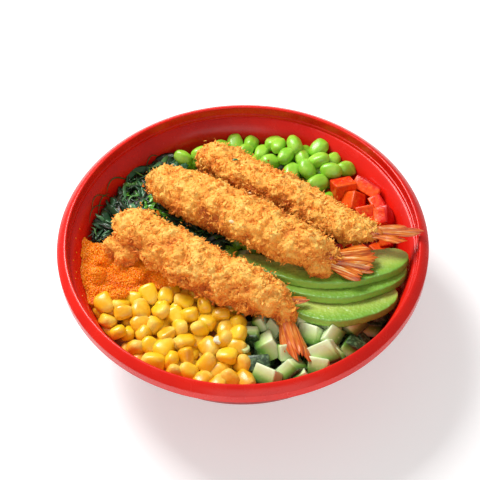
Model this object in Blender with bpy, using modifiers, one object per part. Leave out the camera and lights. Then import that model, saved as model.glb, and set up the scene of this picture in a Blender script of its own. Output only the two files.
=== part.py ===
"""A round takeaway bowl filled with salad heaps, three fanned avocado slices and three breaded shrimps."""
import math
import random

import bmesh
import bpy
from mathutils import Matrix, Vector

MM = 0.001
GAP = 0.3 * MM                 # between pieces that lie against each other
CLEARANCE = 0.45 * MM          # how far a cutter swells, which leaves at least GAP at its corners

# Bowl: rim, wall and base
RIM_RADIUS = 98 * MM           # outer edge of the flange
RIM_HEIGHT = 62 * MM           # highest line of the rim
CREST_RADIUS = 92.8 * MM
FLANGE_DROP = 3.3 * MM
LIP_DEPTH = 5.5 * MM
LEDGE_DROP = 5.2 * MM          # from the crest down to the small ledge inside
WALL_TOP_RADIUS = 91.5 * MM
WALL_TOP_DROP = 7 * MM
WALL_SLOPE = math.radians(17)  # of the upper wall, from the vertical
WALL_STRAIGHT = 19 * MM
WALL_THICKNESS = 1.1 * MM
FLOOR_RADIUS = 51 * MM
BOWL_STEPS = 56

# Heaps: one wedge of the bowl each, from the floor to an uneven top
HEAP_LIMIT = 100 * MM          # wedge outlines run out to here, past the wall
HUB = {                        # inner corners that neighbouring wedges share, in mm
    "west": (-40, 2),
    "south_west": (-36, -21),
    "south": (-3, -28),
    "centre": (-3, 4),
    "east": (32, 4),
    "north_east": (42, 36),
    "north_west": (-28, 58),
}
RIM_MARKS = {                  # where the lines between wedges run out, in degrees from +X
    "roe_corn": 197,
    "corn_cucumber": 271,
    "cucumber_tomato": -2,
    "tomato_edamame": 40,
    "edamame_seaweed": 109,
    "seaweed_roe": 170,
}

# Avocado: three parallel slices, each lying partly on the next
SLICE_DEPTH = 22 * MM          # of the curved outer edge
SLICE_THICKNESS = 4.5 * MM
SLICE_BEVEL = 0.8 * MM
HOLLOW_DEPTH = 9 * MM          # left by the stone
HEEL_HEIGHT = 3.5 * MM
FIRST_SLICE_HEIGHT = 34.5 * MM  # where the lowest slice's middle plane would meet the bowl's axis
SLICE_HEADROOM = 24 * MM       # nothing of a heap lies this far above a slice
TILT_FRONT = math.radians(12)
TILT_RIGHT = math.radians(4)
OUTLINE_STEPS = 16
BLUNT_TIP = 0.035              # share of the length at which the thin end is cut off

# Shrimps
CRUST_SIDES = 12
CRUST_LUMP = 0.55 * MM
TAIL_SIDES = 8


def clear_scene():
    for found in list(bpy.data.objects):
        bpy.data.objects.remove(found, do_unlink=True)


def new_collection(name):
    made = bpy.data.collections.new(name)
    bpy.context.scene.collection.children.link(made)
    return made


def material(name, colour, roughness, metallic=0.0):
    made = bpy.data.materials.new(name)
    made.use_nodes = True
    shader = made.node_tree.nodes["Principled BSDF"]
    shader.inputs["Base Color"].default_value = (*colour, 1)
    shader.inputs["Roughness"].default_value = roughness
    shader.inputs["Metallic"].default_value = metallic
    made.diffuse_color = (*colour, 1)
    return made


def add_object(name, data, collection, finish=None):
    made = bpy.data.objects.new(name, data)
    collection.objects.link(made)
    if finish:
        data.materials.append(finish)
    return made


def mesh_from(bm, name, recalculate=True):
    if recalculate:
        bmesh.ops.recalc_face_normals(bm, faces=bm.faces)
    mesh = bpy.data.meshes.new(name)
    bm.to_mesh(mesh)
    bm.free()
    return mesh


def as_guide(guide):
    guide.hide_render = True
    guide.display_type = "WIRE"
    return guide


def boolean(target, other, operation):
    cut = target.modifiers.new(f"{operation} {other.name}", "BOOLEAN")
    cut.operation = operation
    cut.object = other
    cut.solver = "MANIFOLD" if operation == "DIFFERENCE" else "EXACT"


def curve_to_mesh(curve):
    """Replaces a curve object by a welded mesh object of the same name and place."""
    name, place, owners = curve.name, curve.matrix_world.copy(), list(curve.users_collection)
    bpy.context.view_layer.update()
    graph = bpy.context.evaluated_depsgraph_get()
    mesh = bpy.data.meshes.new_from_object(curve.evaluated_get(graph))
    bpy.data.objects.remove(curve, do_unlink=True)
    bm = bmesh.new()
    bm.from_mesh(mesh)
    bmesh.ops.remove_doubles(bm, verts=bm.verts, dist=0.01 * MM)
    bmesh.ops.recalc_face_normals(bm, faces=bm.faces)
    bm.to_mesh(mesh)
    bm.free()
    made = bpy.data.objects.new(name, mesh)
    made.matrix_world = place
    for owner in owners:
        owner.objects.link(made)
    return made


def wall_curve(inset=0.0):
    """Inner wall from the floor's edge to the wall's top, as (radius, height), moved inwards by inset."""
    top = Vector((WALL_TOP_RADIUS, RIM_HEIGHT - WALL_TOP_DROP))
    along = Vector((math.sin(WALL_SLOPE), math.cos(WALL_SLOPE)))
    knee = top - along * WALL_STRAIGHT
    foot = Vector((FLOOR_RADIUS, WALL_THICKNESS))
    near_foot = foot + Vector((11 * MM, 0))
    near_knee = knee - along * 17 * MM
    points = []
    steps = 7
    for i in range(steps + 1):
        t = i / steps
        s = 1 - t
        place = foot * s**3 + near_foot * 3 * s * s * t + near_knee * 3 * s * t * t + knee * t**3
        slope = (near_foot - foot) * s * s + (near_knee - near_foot) * 2 * s * t + (knee - near_knee) * t * t
        points.append((place, slope.normalized()))
    points.append((top, along))
    return [(p.x - d.y * inset, p.y + d.x * inset) for p, d in points]


def turned(name, profile, collection, finish=None):
    """A closed solid: the (radius, height) profile turned about Z."""
    bm = bmesh.new()
    corners = [bm.verts.new((r, 0, z)) for r, z in profile]
    for a, b in zip(corners, corners[1:]):
        bm.edges.new((a, b))
    mesh = bpy.data.meshes.new(name)
    bm.to_mesh(mesh)
    bm.free()
    made = add_object(name, mesh, collection, finish)
    screw = made.modifiers.new("Turn", "SCREW")
    screw.steps = screw.render_steps = BOWL_STEPS
    screw.use_merge_vertices = True
    screw.merge_threshold = 0.01 * MM
    screw.use_smooth_shade = True
    return made


def bowl_profile():
    crest = RIM_HEIGHT
    flange = [
        (CREST_RADIUS - 0.3 * MM, crest - LEDGE_DROP),
        (CREST_RADIUS - 0.2 * MM, crest - 0.5 * MM),
        (CREST_RADIUS + 0.4 * MM, crest),
        (CREST_RADIUS + 2.2 * MM, crest - 0.6 * MM),
        (RIM_RADIUS - 1.2 * MM, crest - FLANGE_DROP + 1.0 * MM),
        (RIM_RADIUS, crest - FLANGE_DROP),
        (RIM_RADIUS, crest - FLANGE_DROP - LIP_DEPTH),
    ]
    lip_inner = RIM_RADIUS - WALL_THICKNESS
    under = [
        (lip_inner, crest - FLANGE_DROP - LIP_DEPTH),
        (lip_inner, crest - FLANGE_DROP - WALL_THICKNESS),
        (CREST_RADIUS + 1.9 * MM, crest - 2 * WALL_THICKNESS),
        (CREST_RADIUS + 1.1 * MM, crest - LEDGE_DROP - WALL_THICKNESS),
    ]
    outside = wall_curve(-WALL_THICKNESS)[::-1]
    outside[-1] = (FLOOR_RADIUS, 0)
    return [(0, WALL_THICKNESS)] + wall_curve() + flange + under + outside + [(0, 0)]


def cavity_profile():
    """The room inside the bowl, a gap smaller than its wall, closed above the rim."""
    wall = wall_curve(GAP)
    roof = RIM_HEIGHT + 20 * MM
    return [(0, roof), (wall[-1][0], roof)] + wall[::-1] + [(0, wall[0][1])]


def rim_mark(name):
    turn = math.radians(RIM_MARKS[name])
    reach = HEAP_LIMIT * 1.6
    return (reach * math.cos(turn), reach * math.sin(turn))


def hub(name):
    return (HUB[name][0] * MM, HUB[name][1] * MM)


def far_corner(degrees):
    """A point well outside the bowl, which takes a wedge's outline round the outside."""
    turn = math.radians(degrees)
    reach = HEAP_LIMIT * 2.6
    return (reach * math.cos(turn), reach * math.sin(turn))


def inset_outline(points, inset):
    """A counter-clockwise outline with each side moved inwards by inset."""
    moved = []
    count = len(points)
    for i in range(count):
        before, here, after = (Vector(points[(i + k) % count]) for k in (-1, 0, 1))
        first, second = (here - before).normalized(), (after - here).normalized()
        normal_a, normal_b = Vector((-first.y, first.x)), Vector((-second.y, second.x))
        bisector = (normal_a + normal_b).normalized()
        moved.append(here + bisector * inset / max(0.2, bisector.dot(normal_a)))
    return moved


def wedge_prism(name, outline, collection):
    """The wedge's outline as a tall prism."""
    bm = bmesh.new()
    low = -5 * MM
    corners = [bm.verts.new((p.x, p.y, low)) for p in inset_outline(outline, GAP / 2)]
    floor = bm.faces.new(corners)
    top = bmesh.ops.extrude_face_region(bm, geom=[floor])["geom"]
    for vertex in (v for v in top if isinstance(v, bmesh.types.BMVert)):
        vertex.co.z = RIM_HEIGHT * 2
    return as_guide(add_object(name, mesh_from(bm, name), collection))


def heap_block(heap, outline, collection, finish):
    """A block over the wedge whose top rises and falls by pieces of the heap's own size."""
    inside = [(max(-1.0, min(1.0, x / HEAP_LIMIT)) * HEAP_LIMIT, max(-1.0, min(1.0, y / HEAP_LIMIT)) * HEAP_LIMIT)
              for x, y in outline]
    low_x, high_x = min(p[0] for p in inside), max(p[0] for p in inside)
    low_y, high_y = min(p[1] for p in inside), max(p[1] for p in inside)
    cell = heap["cell"] * MM
    count_x, count_y = math.ceil((high_x - low_x) / cell), math.ceil((high_y - low_y) / cell)
    bm = bmesh.new()
    bmesh.ops.create_grid(bm, x_segments=count_x, y_segments=count_y, size=0.5)
    draw = random.Random(heap["seed"])
    for vertex in bm.verts:
        x = low_x + (vertex.co.x + 0.5) * (high_x - low_x)
        y = low_y + (vertex.co.y + 0.5) * (high_y - low_y)
        edge = min(1.0, math.hypot(x, y) / CREST_RADIUS) ** 2
        height = heap["inner"] * (1 - edge) + heap["outer"] * edge + heap["lean"] * x / CREST_RADIUS
        shift = 0.22 * cell
        vertex.co = (x + draw.uniform(-shift, shift), y + draw.uniform(-shift, shift),
                     (height + draw.uniform(-1, 1) * heap["bump"]) * MM)
    base = bmesh.ops.extrude_face_region(bm, geom=list(bm.faces))["geom"]
    for vertex in (v for v in base if isinstance(v, bmesh.types.BMVert)):
        vertex.co.z = 0
    return add_object(heap["name"], mesh_from(bm, heap["name"]), collection, finish)


HEAPS = (  # heights in mm: at the middle of the bowl, at the wall, and added towards +X
    {"name": "corn_heap", "outline": ("south", "centre", "south_west", "roe_corn", 225, 245, "corn_cucumber"),
     "inner": 45, "outer": 40.5, "lean": 0, "bump": 1.6, "cell": 6.5, "seed": 11,
     "colour": (0.89, 0.55, 0.05), "roughness": 0.35},
    {"name": "cucumber_heap", "outline": ("centre", "south", "corn_cucumber", 290, 325, "cucumber_tomato", "east"),
     "inner": 43, "outer": 40, "lean": -1, "bump": 2.0, "cell": 8, "seed": 12,
     "colour": (0.60, 0.74, 0.40), "roughness": 0.4},
    {"name": "tomato_heap", "outline": ("east", "cucumber_tomato", 20, "tomato_edamame", "north_east"),
     "inner": 46, "outer": 42, "lean": 0, "bump": 2.2, "cell": 8, "seed": 13,
     "colour": (0.74, 0.04, 0.02), "roughness": 0.3},
    {"name": "edamame_heap",
     "outline": ("centre", "east", "north_east", "tomato_edamame", 65, 90, "edamame_seaweed", "north_west"),
     "inner": 46, "outer": 43, "lean": 0, "bump": 2.0, "cell": 7.5, "seed": 14,
     "colour": (0.33, 0.62, 0.06), "roughness": 0.35},
    {"name": "seaweed_heap",
     "outline": ("south_west", "centre", "north_west", "edamame_seaweed", 135, 155, "seaweed_roe", "west"),
     "inner": 45, "outer": 40.5, "lean": 0, "bump": 1.5, "cell": 6, "seed": 15,
     "colour": (0.03, 0.12, 0.05), "roughness": 0.3},
    {"name": "roe_heap", "outline": ("south_west", "west", "seaweed_roe", 183, "roe_corn"),
     "inner": 47, "outer": 45, "lean": 0, "bump": 2.2, "cell": 6, "seed": 16,
     "colour": (0.95, 0.20, 0.01), "roughness": 0.4},
)


def corner(mark):
    if isinstance(mark, (int, float)):
        return far_corner(mark)
    return hub(mark) if mark in HUB else rim_mark(mark)


def make_heap(heap, cavity, clearances, parts, cutters):
    outline = [corner(mark) for mark in heap["outline"]]
    finish = material(heap["name"], heap["colour"], heap["roughness"])
    block = heap_block(heap, outline, parts, finish)
    boolean(block, wedge_prism(f"{heap['name']}_wedge", outline, cutters), "INTERSECT")
    boolean(block, cavity, "INTERSECT")
    for cutter in clearances:
        boolean(block, cutter, "DIFFERENCE")
    return block


def slice_outline(length):
    """Outer edge from the thin tip to the round end, then the inner edge back past the stone's hollow."""
    def outer(t):
        return -SLICE_DEPTH * math.sin(math.pi * t**1.2) ** 0.75

    def inner(t):
        hollow = HOLLOW_DEPTH * math.exp(-(((t - 0.5) / 0.22) ** 2))
        return (HEEL_HEIGHT * math.sin(math.pi * t**3) - hollow) * min(1.0, 4 * t)

    ends = [max(BLUNT_TIP, 0.5 - 0.5 * math.cos(math.pi * i / OUTLINE_STEPS)) for i in range(OUTLINE_STEPS + 1)]
    front = [(t * length, outer(t)) for t in ends[:-1]]
    back = [(t * length, inner(t)) for t in reversed(ends)]
    return front + back


def slice_plane():
    return Matrix.Rotation(-TILT_RIGHT, 4, "Y") @ Matrix.Rotation(-TILT_FRONT, 4, "X")


def avocado_slice(item, level, collection, swell=0.0, headroom=0.0):
    """One slice, or with swell and headroom the room that it and the way down to it need."""
    curve = bpy.data.curves.new(item["name"], "CURVE")
    curve.dimensions = "2D"
    curve.fill_mode = "BOTH"
    curve.extrude = (SLICE_THICKNESS + headroom) / 2 - SLICE_BEVEL
    curve.bevel_depth = SLICE_BEVEL + swell
    curve.bevel_resolution = 0
    spline = curve.splines.new("POLY")
    outline = slice_outline(item["length"] * MM)
    spline.points.add(len(outline) - 1)
    for point, (x, y) in zip(spline.points, outline):
        point.co = (x, y, 0, 1)
    spline.use_cyclic_u = True
    flat = add_object(item["name"], curve, collection)
    up = slice_plane().to_3x3() @ Vector((0, 0, 1))
    x, y = (value * MM for value in item["round_end"])
    stack = FIRST_SLICE_HEIGHT * up.z + level * (SLICE_THICKNESS + GAP)
    end = Vector((x, y, (stack - up.x * x - up.y * y) / up.z)) + up * headroom / 2
    turn = slice_plane() @ Matrix.Rotation(math.radians(item["heading"]), 4, "Z")
    flat.matrix_world = Matrix.Translation(end) @ turn @ Matrix.Translation((-item["length"] * MM, 0, 0))
    return curve_to_mesh(flat)


AVOCADO = (  # round_end is x, y in mm, length in mm, heading in degrees from +X
    {"name": "avocado_slice_1", "round_end": (80, -34), "length": 72, "heading": -10},
    {"name": "avocado_slice_2", "round_end": (86, -19), "length": 82, "heading": -5},
    {"name": "avocado_slice_3", "round_end": (87, -14), "length": 93, "heading": -7.5},
)


SHRIMPS = (  # spine points are x, y, z and radius in mm; tail lobes are start, end, width, thickness in mm
    {"name": "shrimp_1", "seed": 21,
     "spine": ((-69, 8, 55, 3), (-65, 8.5, 55, 9.5), (-56, 7, 55, 13.2), (-40, -4, 55, 12.8), (-18, -20, 54.5, 13.8),
               (3, -30.5, 53.5, 12.8), (14, -36.5, 52, 10.5), (20, -42.5, 49, 7.2), (23, -50, 46.5, 5)),
     "tail": (((21, -44, 48.5), (25.5, -67, 44), 11, 4), ((21, -44, 48.5), (31.5, -70, 43.5), 5, 4),
              ((16, -37, 51), (33, -36, 50.5), 6, 4))},
    {"name": "shrimp_2", "seed": 22,
     "spine": ((-51, 37, 55.5, 3), (-47.5, 38.5, 55.5, 9), (-40, 37.5, 56.5, 12.4), (-22, 26, 58.5, 13.8),
               (-2, 12, 60.5, 13.2), (18, -2, 63, 13), (32, -11, 63.5, 11), (42, -16.5, 63.5, 8), (50, -19, 63, 5)),
     "tail": (((46, -18, 62), (70, -14, 58.5), 9, 4), ((46, -19, 61.5), (68, -22, 58.5), 8, 4),
              ((42, -20, 60.5), (62, -29, 59), 7, 4))},
    {"name": "shrimp_3", "seed": 23,
     "spine": ((-24, 62, 54, 3), (-20, 61, 54, 8), (-13, 57.5, 54.5, 10.6), (8, 41, 56, 11.4), (26, 28.5, 57, 11),
               (43, 14.5, 58.8, 10.2), (56, 4, 60.5, 9), (66, -1.5, 62.5, 7), (72, -3, 63.6, 4)),
     "tail": (((68, -2.5, 64), (96, -7, 65.3), 6, 4), ((68, -3.5, 63), (87.5, -9, 63.9), 5, 3))},
)


def tail_lobe(name, start, end, width, thickness, collection):
    """A flat blade of shell, narrow where it leaves the body."""
    start, end = Vector(start) * MM, Vector(end) * MM
    along = (end - start).normalized()
    side = Vector((0, 0, 1)).cross(along).normalized()
    rise = along.cross(side)
    bm = bmesh.new()
    bmesh.ops.create_uvsphere(bm, u_segments=TAIL_SIDES, v_segments=6, radius=0.5)
    for vertex in bm.verts:
        x, y, z = vertex.co
        spread = 0.62 + 0.76 * (z + 0.5)
        vertex.co = ((start + end) / 2 + along * z * (end - start).length
                     + side * x * width * MM * spread + rise * y * thickness * MM)
    return as_guide(add_object(name, mesh_from(bm, name, recalculate=False), collection))


def make_shrimp(shrimp, parts, cutters, finish):
    name = shrimp["name"]
    curve = bpy.data.curves.new(name, "CURVE")
    curve.dimensions = "3D"
    curve.bevel_depth = 1
    curve.bevel_resolution = (CRUST_SIDES - 4) // 2
    curve.resolution_u = 2
    curve.use_fill_caps = True
    spline = curve.splines.new("BEZIER")
    spline.bezier_points.add(len(shrimp["spine"]) - 1)
    for point, (x, y, z, radius) in zip(spline.bezier_points, shrimp["spine"]):
        point.co = (x * MM, y * MM, z * MM)
        point.handle_left_type = point.handle_right_type = "AUTO"
        point.radius = radius * MM
    body = curve_to_mesh(add_object(name, curve, parts))
    body.data.materials.append(finish)
    draw = random.Random(shrimp["seed"])
    for vertex in body.data.vertices:
        vertex.co += Vector([draw.uniform(-CRUST_LUMP, CRUST_LUMP) for _ in range(3)])
    for number, (start, end, width, thickness) in enumerate(shrimp["tail"], 1):
        lobe = tail_lobe(f"{name}_lobe_{number}", start, end, width, thickness, cutters)
        boolean(body, lobe, "UNION")
    return body


def clearance_of(piece, cutters):
    """A swollen copy of a piece, which makes room for it in what lies around it."""
    swollen = piece.copy()
    swollen.name = f"{piece.name}_clearance"
    cutters.objects.link(swollen)
    swell = swollen.modifiers.new("Swell", "DISPLACE")
    swell.strength = CLEARANCE
    swell.mid_level = 0
    return as_guide(swollen)


clear_scene()
parts = new_collection("Poke bowl")
cutters = new_collection("Cutters")

turned("bowl", bowl_profile(), parts, material("bowl_plastic", (0.72, 0.03, 0.02), 0.25))
cavity = as_guide(turned("cavity", cavity_profile(), cutters))

crust = material("fried_crust", (0.78, 0.38, 0.09), 0.75)
shrimps = [make_shrimp(shrimp, parts, cutters, crust) for shrimp in SHRIMPS]
shrimp_room = [clearance_of(shrimp, cutters) for shrimp in shrimps]

flesh = material("avocado_flesh", (0.46, 0.60, 0.18), 0.45)
slice_room = []
for level, item in enumerate(AVOCADO):
    avocado = avocado_slice(item, level, parts)
    avocado.data.materials.append(flesh)
    for room in shrimp_room:
        boolean(avocado, room, "DIFFERENCE")
    above = avocado_slice(item, level, cutters, CLEARANCE, SLICE_HEADROOM)
    above.name = f"{item['name']}_room"
    slice_room.append(as_guide(above))

for heap in HEAPS:
    make_heap(heap, cavity, shrimp_room + slice_room, parts, cutters)
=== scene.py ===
import math
import random

import bmesh
import bpy
import numpy as np
from mathutils import Euler, Matrix, Vector, noise
from mathutils.bvhtree import BVHTree


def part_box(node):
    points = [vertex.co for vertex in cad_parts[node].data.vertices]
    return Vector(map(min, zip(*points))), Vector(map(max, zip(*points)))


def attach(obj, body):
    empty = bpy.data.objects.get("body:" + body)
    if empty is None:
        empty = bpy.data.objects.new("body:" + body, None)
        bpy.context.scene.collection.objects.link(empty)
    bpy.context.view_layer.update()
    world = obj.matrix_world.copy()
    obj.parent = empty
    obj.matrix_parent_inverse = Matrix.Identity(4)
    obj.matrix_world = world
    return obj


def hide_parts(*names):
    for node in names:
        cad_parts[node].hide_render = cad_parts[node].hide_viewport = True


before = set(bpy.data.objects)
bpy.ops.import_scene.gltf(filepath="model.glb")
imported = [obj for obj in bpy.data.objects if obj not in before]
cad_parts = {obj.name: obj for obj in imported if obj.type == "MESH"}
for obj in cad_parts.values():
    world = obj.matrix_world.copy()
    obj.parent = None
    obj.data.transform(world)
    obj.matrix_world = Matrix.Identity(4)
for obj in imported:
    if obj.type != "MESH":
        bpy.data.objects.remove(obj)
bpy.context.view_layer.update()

mm = 0.001
print("frame loaded:", len(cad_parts), "solids")


def tone(red, green, blue):
    # a colour as it is read on a screen, 0 to 255, made linear
    parts = [value / 255 for value in (red, green, blue)]
    return tuple(p / 12.92 if p <= 0.04045 else ((p + 0.055) / 1.055) ** 2.4 for p in parts) + (1.0,)


class Wire:
    # one output of a node, which can be used in sums
    def __init__(self, paint, socket):
        self.paint = paint
        self.socket = socket

    def sum(self, operation, first, second):
        return self.paint.add("ShaderNodeMath", {"operation": operation}, {0: first, 1: second})

    def __add__(self, other):
        return self.sum("ADD", self, other)

    def __radd__(self, other):
        return self.sum("ADD", other, self)

    def __sub__(self, other):
        return self.sum("SUBTRACT", self, other)

    def __rsub__(self, other):
        return self.sum("SUBTRACT", other, self)

    def __mul__(self, other):
        return self.sum("MULTIPLY", self, other)

    def __rmul__(self, other):
        return self.sum("MULTIPLY", other, self)


class Paint:
    # one material and the nodes in it
    def __init__(self, name):
        self.material = bpy.data.materials.new(name)
        self.material.use_nodes = True
        self.tree = self.material.node_tree
        self.tree.nodes.clear()

    def add(self, kind, settings=None, sockets=None, out=0):
        node = self.tree.nodes.new(kind)
        for key, value in (settings or {}).items():
            if key == "stops":
                for extra in range(len(value) - 2):
                    node.color_ramp.elements.new(0.5)
                for element, (place, colour) in zip(node.color_ramp.elements, value):
                    element.position = place
                    element.color = colour
            else:
                setattr(node, key, value)
        for key, value in (sockets or {}).items():
            if isinstance(value, Wire):
                self.tree.links.new(value.socket, node.inputs[key])
            else:
                node.inputs[key].default_value = value
        return Wire(self, node.outputs[out])

    def place(self):
        return self.add("ShaderNodeTexCoord", out="Object")

    def stretched(self, x, y, z):
        return self.add("ShaderNodeMapping", {}, {"Vector": self.place(), "Scale": (x, y, z)})

    def mark(self, name):
        return self.add("ShaderNodeAttribute", {"attribute_name": name}, out="Fac")

    def clouds(self, size, detail=3.0, rough=0.55, vector=None):
        return self.add("ShaderNodeTexNoise", {}, {
            "Vector": vector or self.place(), "Scale": 1 / (size * mm), "Detail": detail, "Roughness": rough,
        })

    def cells(self, size):
        sockets = {"Vector": self.place(), "Scale": 1 / (size * mm)}
        return self.add("ShaderNodeTexVoronoi", {}, sockets, out="Distance")

    def between(self, value, low, high, start=0.0, end=1.0):
        return self.add("ShaderNodeMapRange", {"interpolation_type": "SMOOTHSTEP"}, {
            "Value": value, "From Min": low, "From Max": high, "To Min": start, "To Max": end,
        })

    def mix(self, factor, first, second):
        settings = {"data_type": "RGBA", "clamp_factor": True}
        return self.add("ShaderNodeMix", settings, {0: factor, 6: first, 7: second}, out=2)

    def flecked(self, colour, other, size, low, high, amount=1.0, detail=3.0):
        # the other colour in cloudy patches
        return self.mix(self.between(self.clouds(size, detail=detail), low, high) * amount, colour, other)

    def ramp(self, value, *stops):
        return self.add("ShaderNodeValToRGB", {"stops": stops}, {"Fac": value})

    def bump(self, height, depth, strength=1.0, under=None):
        sockets = {"Height": height, "Distance": depth * mm, "Strength": strength}
        if under:
            sockets["Normal"] = under
        return self.add("ShaderNodeBump", {}, sockets)

    def dents(self, size, depth, strength, under=None, detail=3.0):
        return self.bump(self.clouds(size, detail=detail), depth, strength, under)

    def done(self, colour, rough, normal=None, glow=(), coat=(), light=(), shine=None):
        # glow is the subsurface weight, scale and radius; coat is its weight and roughness; light is an emission
        sockets = {"Base Color": colour, "Roughness": rough}
        if normal:
            sockets["Normal"] = normal
        sockets.update(zip(("Subsurface Weight", "Subsurface Scale", "Subsurface Radius"), glow))
        sockets.update(zip(("Coat Weight", "Coat Roughness"), coat))
        if shine is not None:
            sockets["Specular IOR Level"] = shine
        sockets.update(zip(("Emission Color", "Emission Strength"), light))
        shader = self.add("ShaderNodeBsdfPrincipled", {"subsurface_method": "RANDOM_WALK"}, sockets)
        output = self.tree.nodes.new("ShaderNodeOutputMaterial")
        self.tree.links.new(shader.socket, output.inputs["Surface"])
        return self.material


def clamped(value):
    return min(1.0, max(0.0, value))


def newPiece(name, data):
    obj = bpy.data.objects.new(name, data)
    bpy.context.scene.collection.objects.link(obj)
    return obj


def started(add, **settings):
    # a pattern piece from one of the plain shapes
    bpy.ops.object.select_all(action="DESELECT")
    add(**settings)
    return bpy.context.active_object


def onlySelect(obj):
    if bpy.context.object and bpy.context.object.mode != "OBJECT":
        bpy.ops.object.mode_set(mode="OBJECT")
    bpy.ops.object.select_all(action="DESELECT")
    obj.select_set(True)
    bpy.context.view_layer.objects.active = obj


def intoEdit(obj):
    onlySelect(obj)
    bpy.ops.object.mode_set(mode="EDIT")
    bpy.ops.mesh.select_all(action="SELECT")


def outOfEdit():
    bpy.ops.object.mode_set(mode="OBJECT")


def pickPoints(obj, test):
    shape = bmesh.from_edit_mesh(obj.data)
    for part in list(shape.faces) + list(shape.edges) + list(shape.verts):
        part.select = False
    for point in shape.verts:
        point.select = bool(test(point.co))
    shape.select_flush(True)
    bmesh.update_edit_mesh(obj.data)


def pickFaces(obj, test):
    shape = bmesh.from_edit_mesh(obj.data)
    for part in list(shape.faces) + list(shape.edges) + list(shape.verts):
        part.select = False
    for face in shape.faces:
        if test(face):
            face.select_set(True)
    bmesh.update_edit_mesh(obj.data)


def scaled(obj, *size):
    intoEdit(obj)
    bpy.ops.transform.resize(value=size, center_override=(0, 0, 0))
    outOfEdit()


def laidOver(obj):
    # turns the poles of a round piece to its ends
    intoEdit(obj)
    bpy.ops.transform.rotate(value=math.pi / 2, orient_axis="Y", center_override=(0, 0, 0))
    outOfEdit()


def applyAll(obj):
    onlySelect(obj)
    for modifier in list(obj.modifiers):
        bpy.ops.object.modifier_apply(modifier=modifier.name)


def worked(obj, kind, **settings):
    modifier = obj.modifiers.new(kind.lower(), kind)
    for key, value in settings.items():
        setattr(modifier, key, value)
    applyAll(obj)


def relief(obj, size, strength, kind="CLOUDS", middle=0.5):
    # pushes the surface in and out along its normals by a pattern; size and strength are in millimetres
    texture = bpy.data.textures.new("relief", kind)
    texture.noise_scale = size * mm
    worked(obj, "DISPLACE", texture=texture, texture_coords="LOCAL", strength=strength * mm, mid_level=middle)


def settle(obj, drop, deeper=8.0):
    # lowers a core below what lies on it, and its underside further, so that thin edges keep their thickness
    points, under = pointsOf(obj), 1.0 - np.clip((normalsOf(obj)[:, 2] + 0.1) / 0.3, 0, 1)
    points[:, 2] -= (drop + deeper * under) * mm
    setPoints(obj, points)


def smoothOut(obj, times):
    worked(obj, "SMOOTH", iterations=times, factor=0.6)


def rounded(obj):
    worked(obj, "SUBSURF", levels=1, render_levels=1)


def evenSkin(obj, voxel):
    onlySelect(obj)
    obj.data.remesh_voxel_size = voxel * mm
    bpy.ops.object.voxel_remesh()


def facesOut(obj, merge=0.01):
    intoEdit(obj)
    bpy.ops.mesh.remove_doubles(threshold=merge * mm)
    bpy.ops.mesh.normals_make_consistent(inside=False)
    outOfEdit()


def copyOfSolid(nodeName, name):
    copied = newPiece(name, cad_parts[nodeName].data.copy())
    copied.data.materials.clear()
    for layer in [a.name for a in copied.data.attributes if a.name == "UVMap"]:
        copied.data.attributes.remove(copied.data.attributes[layer])
    facesOut(copied)
    return copied


def heapCore(kind, drop, lumps, cell, colours, dents=(2.0, 0.5), rough=(0.5, 0.2), shine=None):
    # the mass under a heap's pieces, painted dark towards its cell edges as painted shade in the gaps between them;
    # lumps are the size and strength of its relief, mm
    core = copyOfSolid(f"{kind}_heap", f"{kind}Core")
    evenSkin(core, 1.6)
    smoothOut(core, 3)
    settle(core, drop)
    relief(core, *lumps)
    paint = Paint(f"{kind}Shade")
    cells = paint.cells(cell)
    # the ramp runs from a dim colour at cell centres to a darker one at their edges: painted shade
    skin = paint.done(paint.ramp(cells, *colours), rough[0] + rough[1] * cells, paint.bump(cells, *dents), shine=shine)
    present(core, kind, skin, [f"{kind}_heap"])


def listOf(items, name, width=1, kind=float):
    values = np.empty(len(items) * width, kind)
    items.foreach_get(name, values)
    return values if width == 1 else values.reshape(-1, width)


def pointsOf(obj):
    return listOf(obj.data.vertices, "co", 3)


def normalsOf(obj):
    return listOf(obj.data.vertices, "normal", 3)


def setPoints(obj, points):
    obj.data.vertices.foreach_set("co", points.ravel())
    obj.data.update()


def setMark(mesh, name, values):
    mesh.attributes.new(name, "FLOAT", "POINT").data.foreach_set("value", values)


wall = {
    "radius": 91.5,  # at its top, mm
    "height": 55.0,
    "slope": math.radians(17),  # of the straight part, off upright
    "straight": 19,  # its length, mm
    "foot": 51.0,  # radius where the flat floor ends
    "reach": (19, 21),  # how far the bend's handles reach from the floor and from the straight part
    "steps": 17,
}


def wallLine(inset):
    # from the floor up to the top of the wall; the inside and the outside share it
    lean, rise = math.sin(wall["slope"]), math.cos(wall["slope"])
    top = (wall["radius"] - inset, wall["height"])
    knee = (top[0] - wall["straight"] * lean, top[1] - wall["straight"] * rise)
    foot = (wall["foot"] - inset * 0.4, max(inset, 0.0))
    a = (foot[0] + wall["reach"][0], foot[1])
    b = (knee[0] - wall["reach"][1] * lean, knee[1] - wall["reach"][1] * rise)
    points = []
    for step in range(wall["steps"] + 1):
        t = step / wall["steps"]
        u = 1 - t
        shares = (u ** 3, 3 * u * u * t, 3 * u * t * t, t ** 3)
        points.append(tuple(sum(k * p[i] for k, p in zip(shares, (foot, a, b, knee))) for i in (0, 1)))
    return points + [top]


def holdIn(obj):
    # food that reaches the wall lies flat against it
    points = pointsOf(obj)
    line = np.array(wallLine(1.0)) * mm
    limit = np.interp(points[:, 2], line[:, 1], line[:, 0])
    limit[points[:, 2] > 54.8 * mm] = 1.0
    points[:, :2] *= np.minimum(1.0, limit / np.maximum(np.hypot(points[:, 0], points[:, 1]), 1e-9))[:, None]
    points[:, 2] = np.maximum(points[:, 2], 1.2 * mm)
    setPoints(obj, points)


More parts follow.
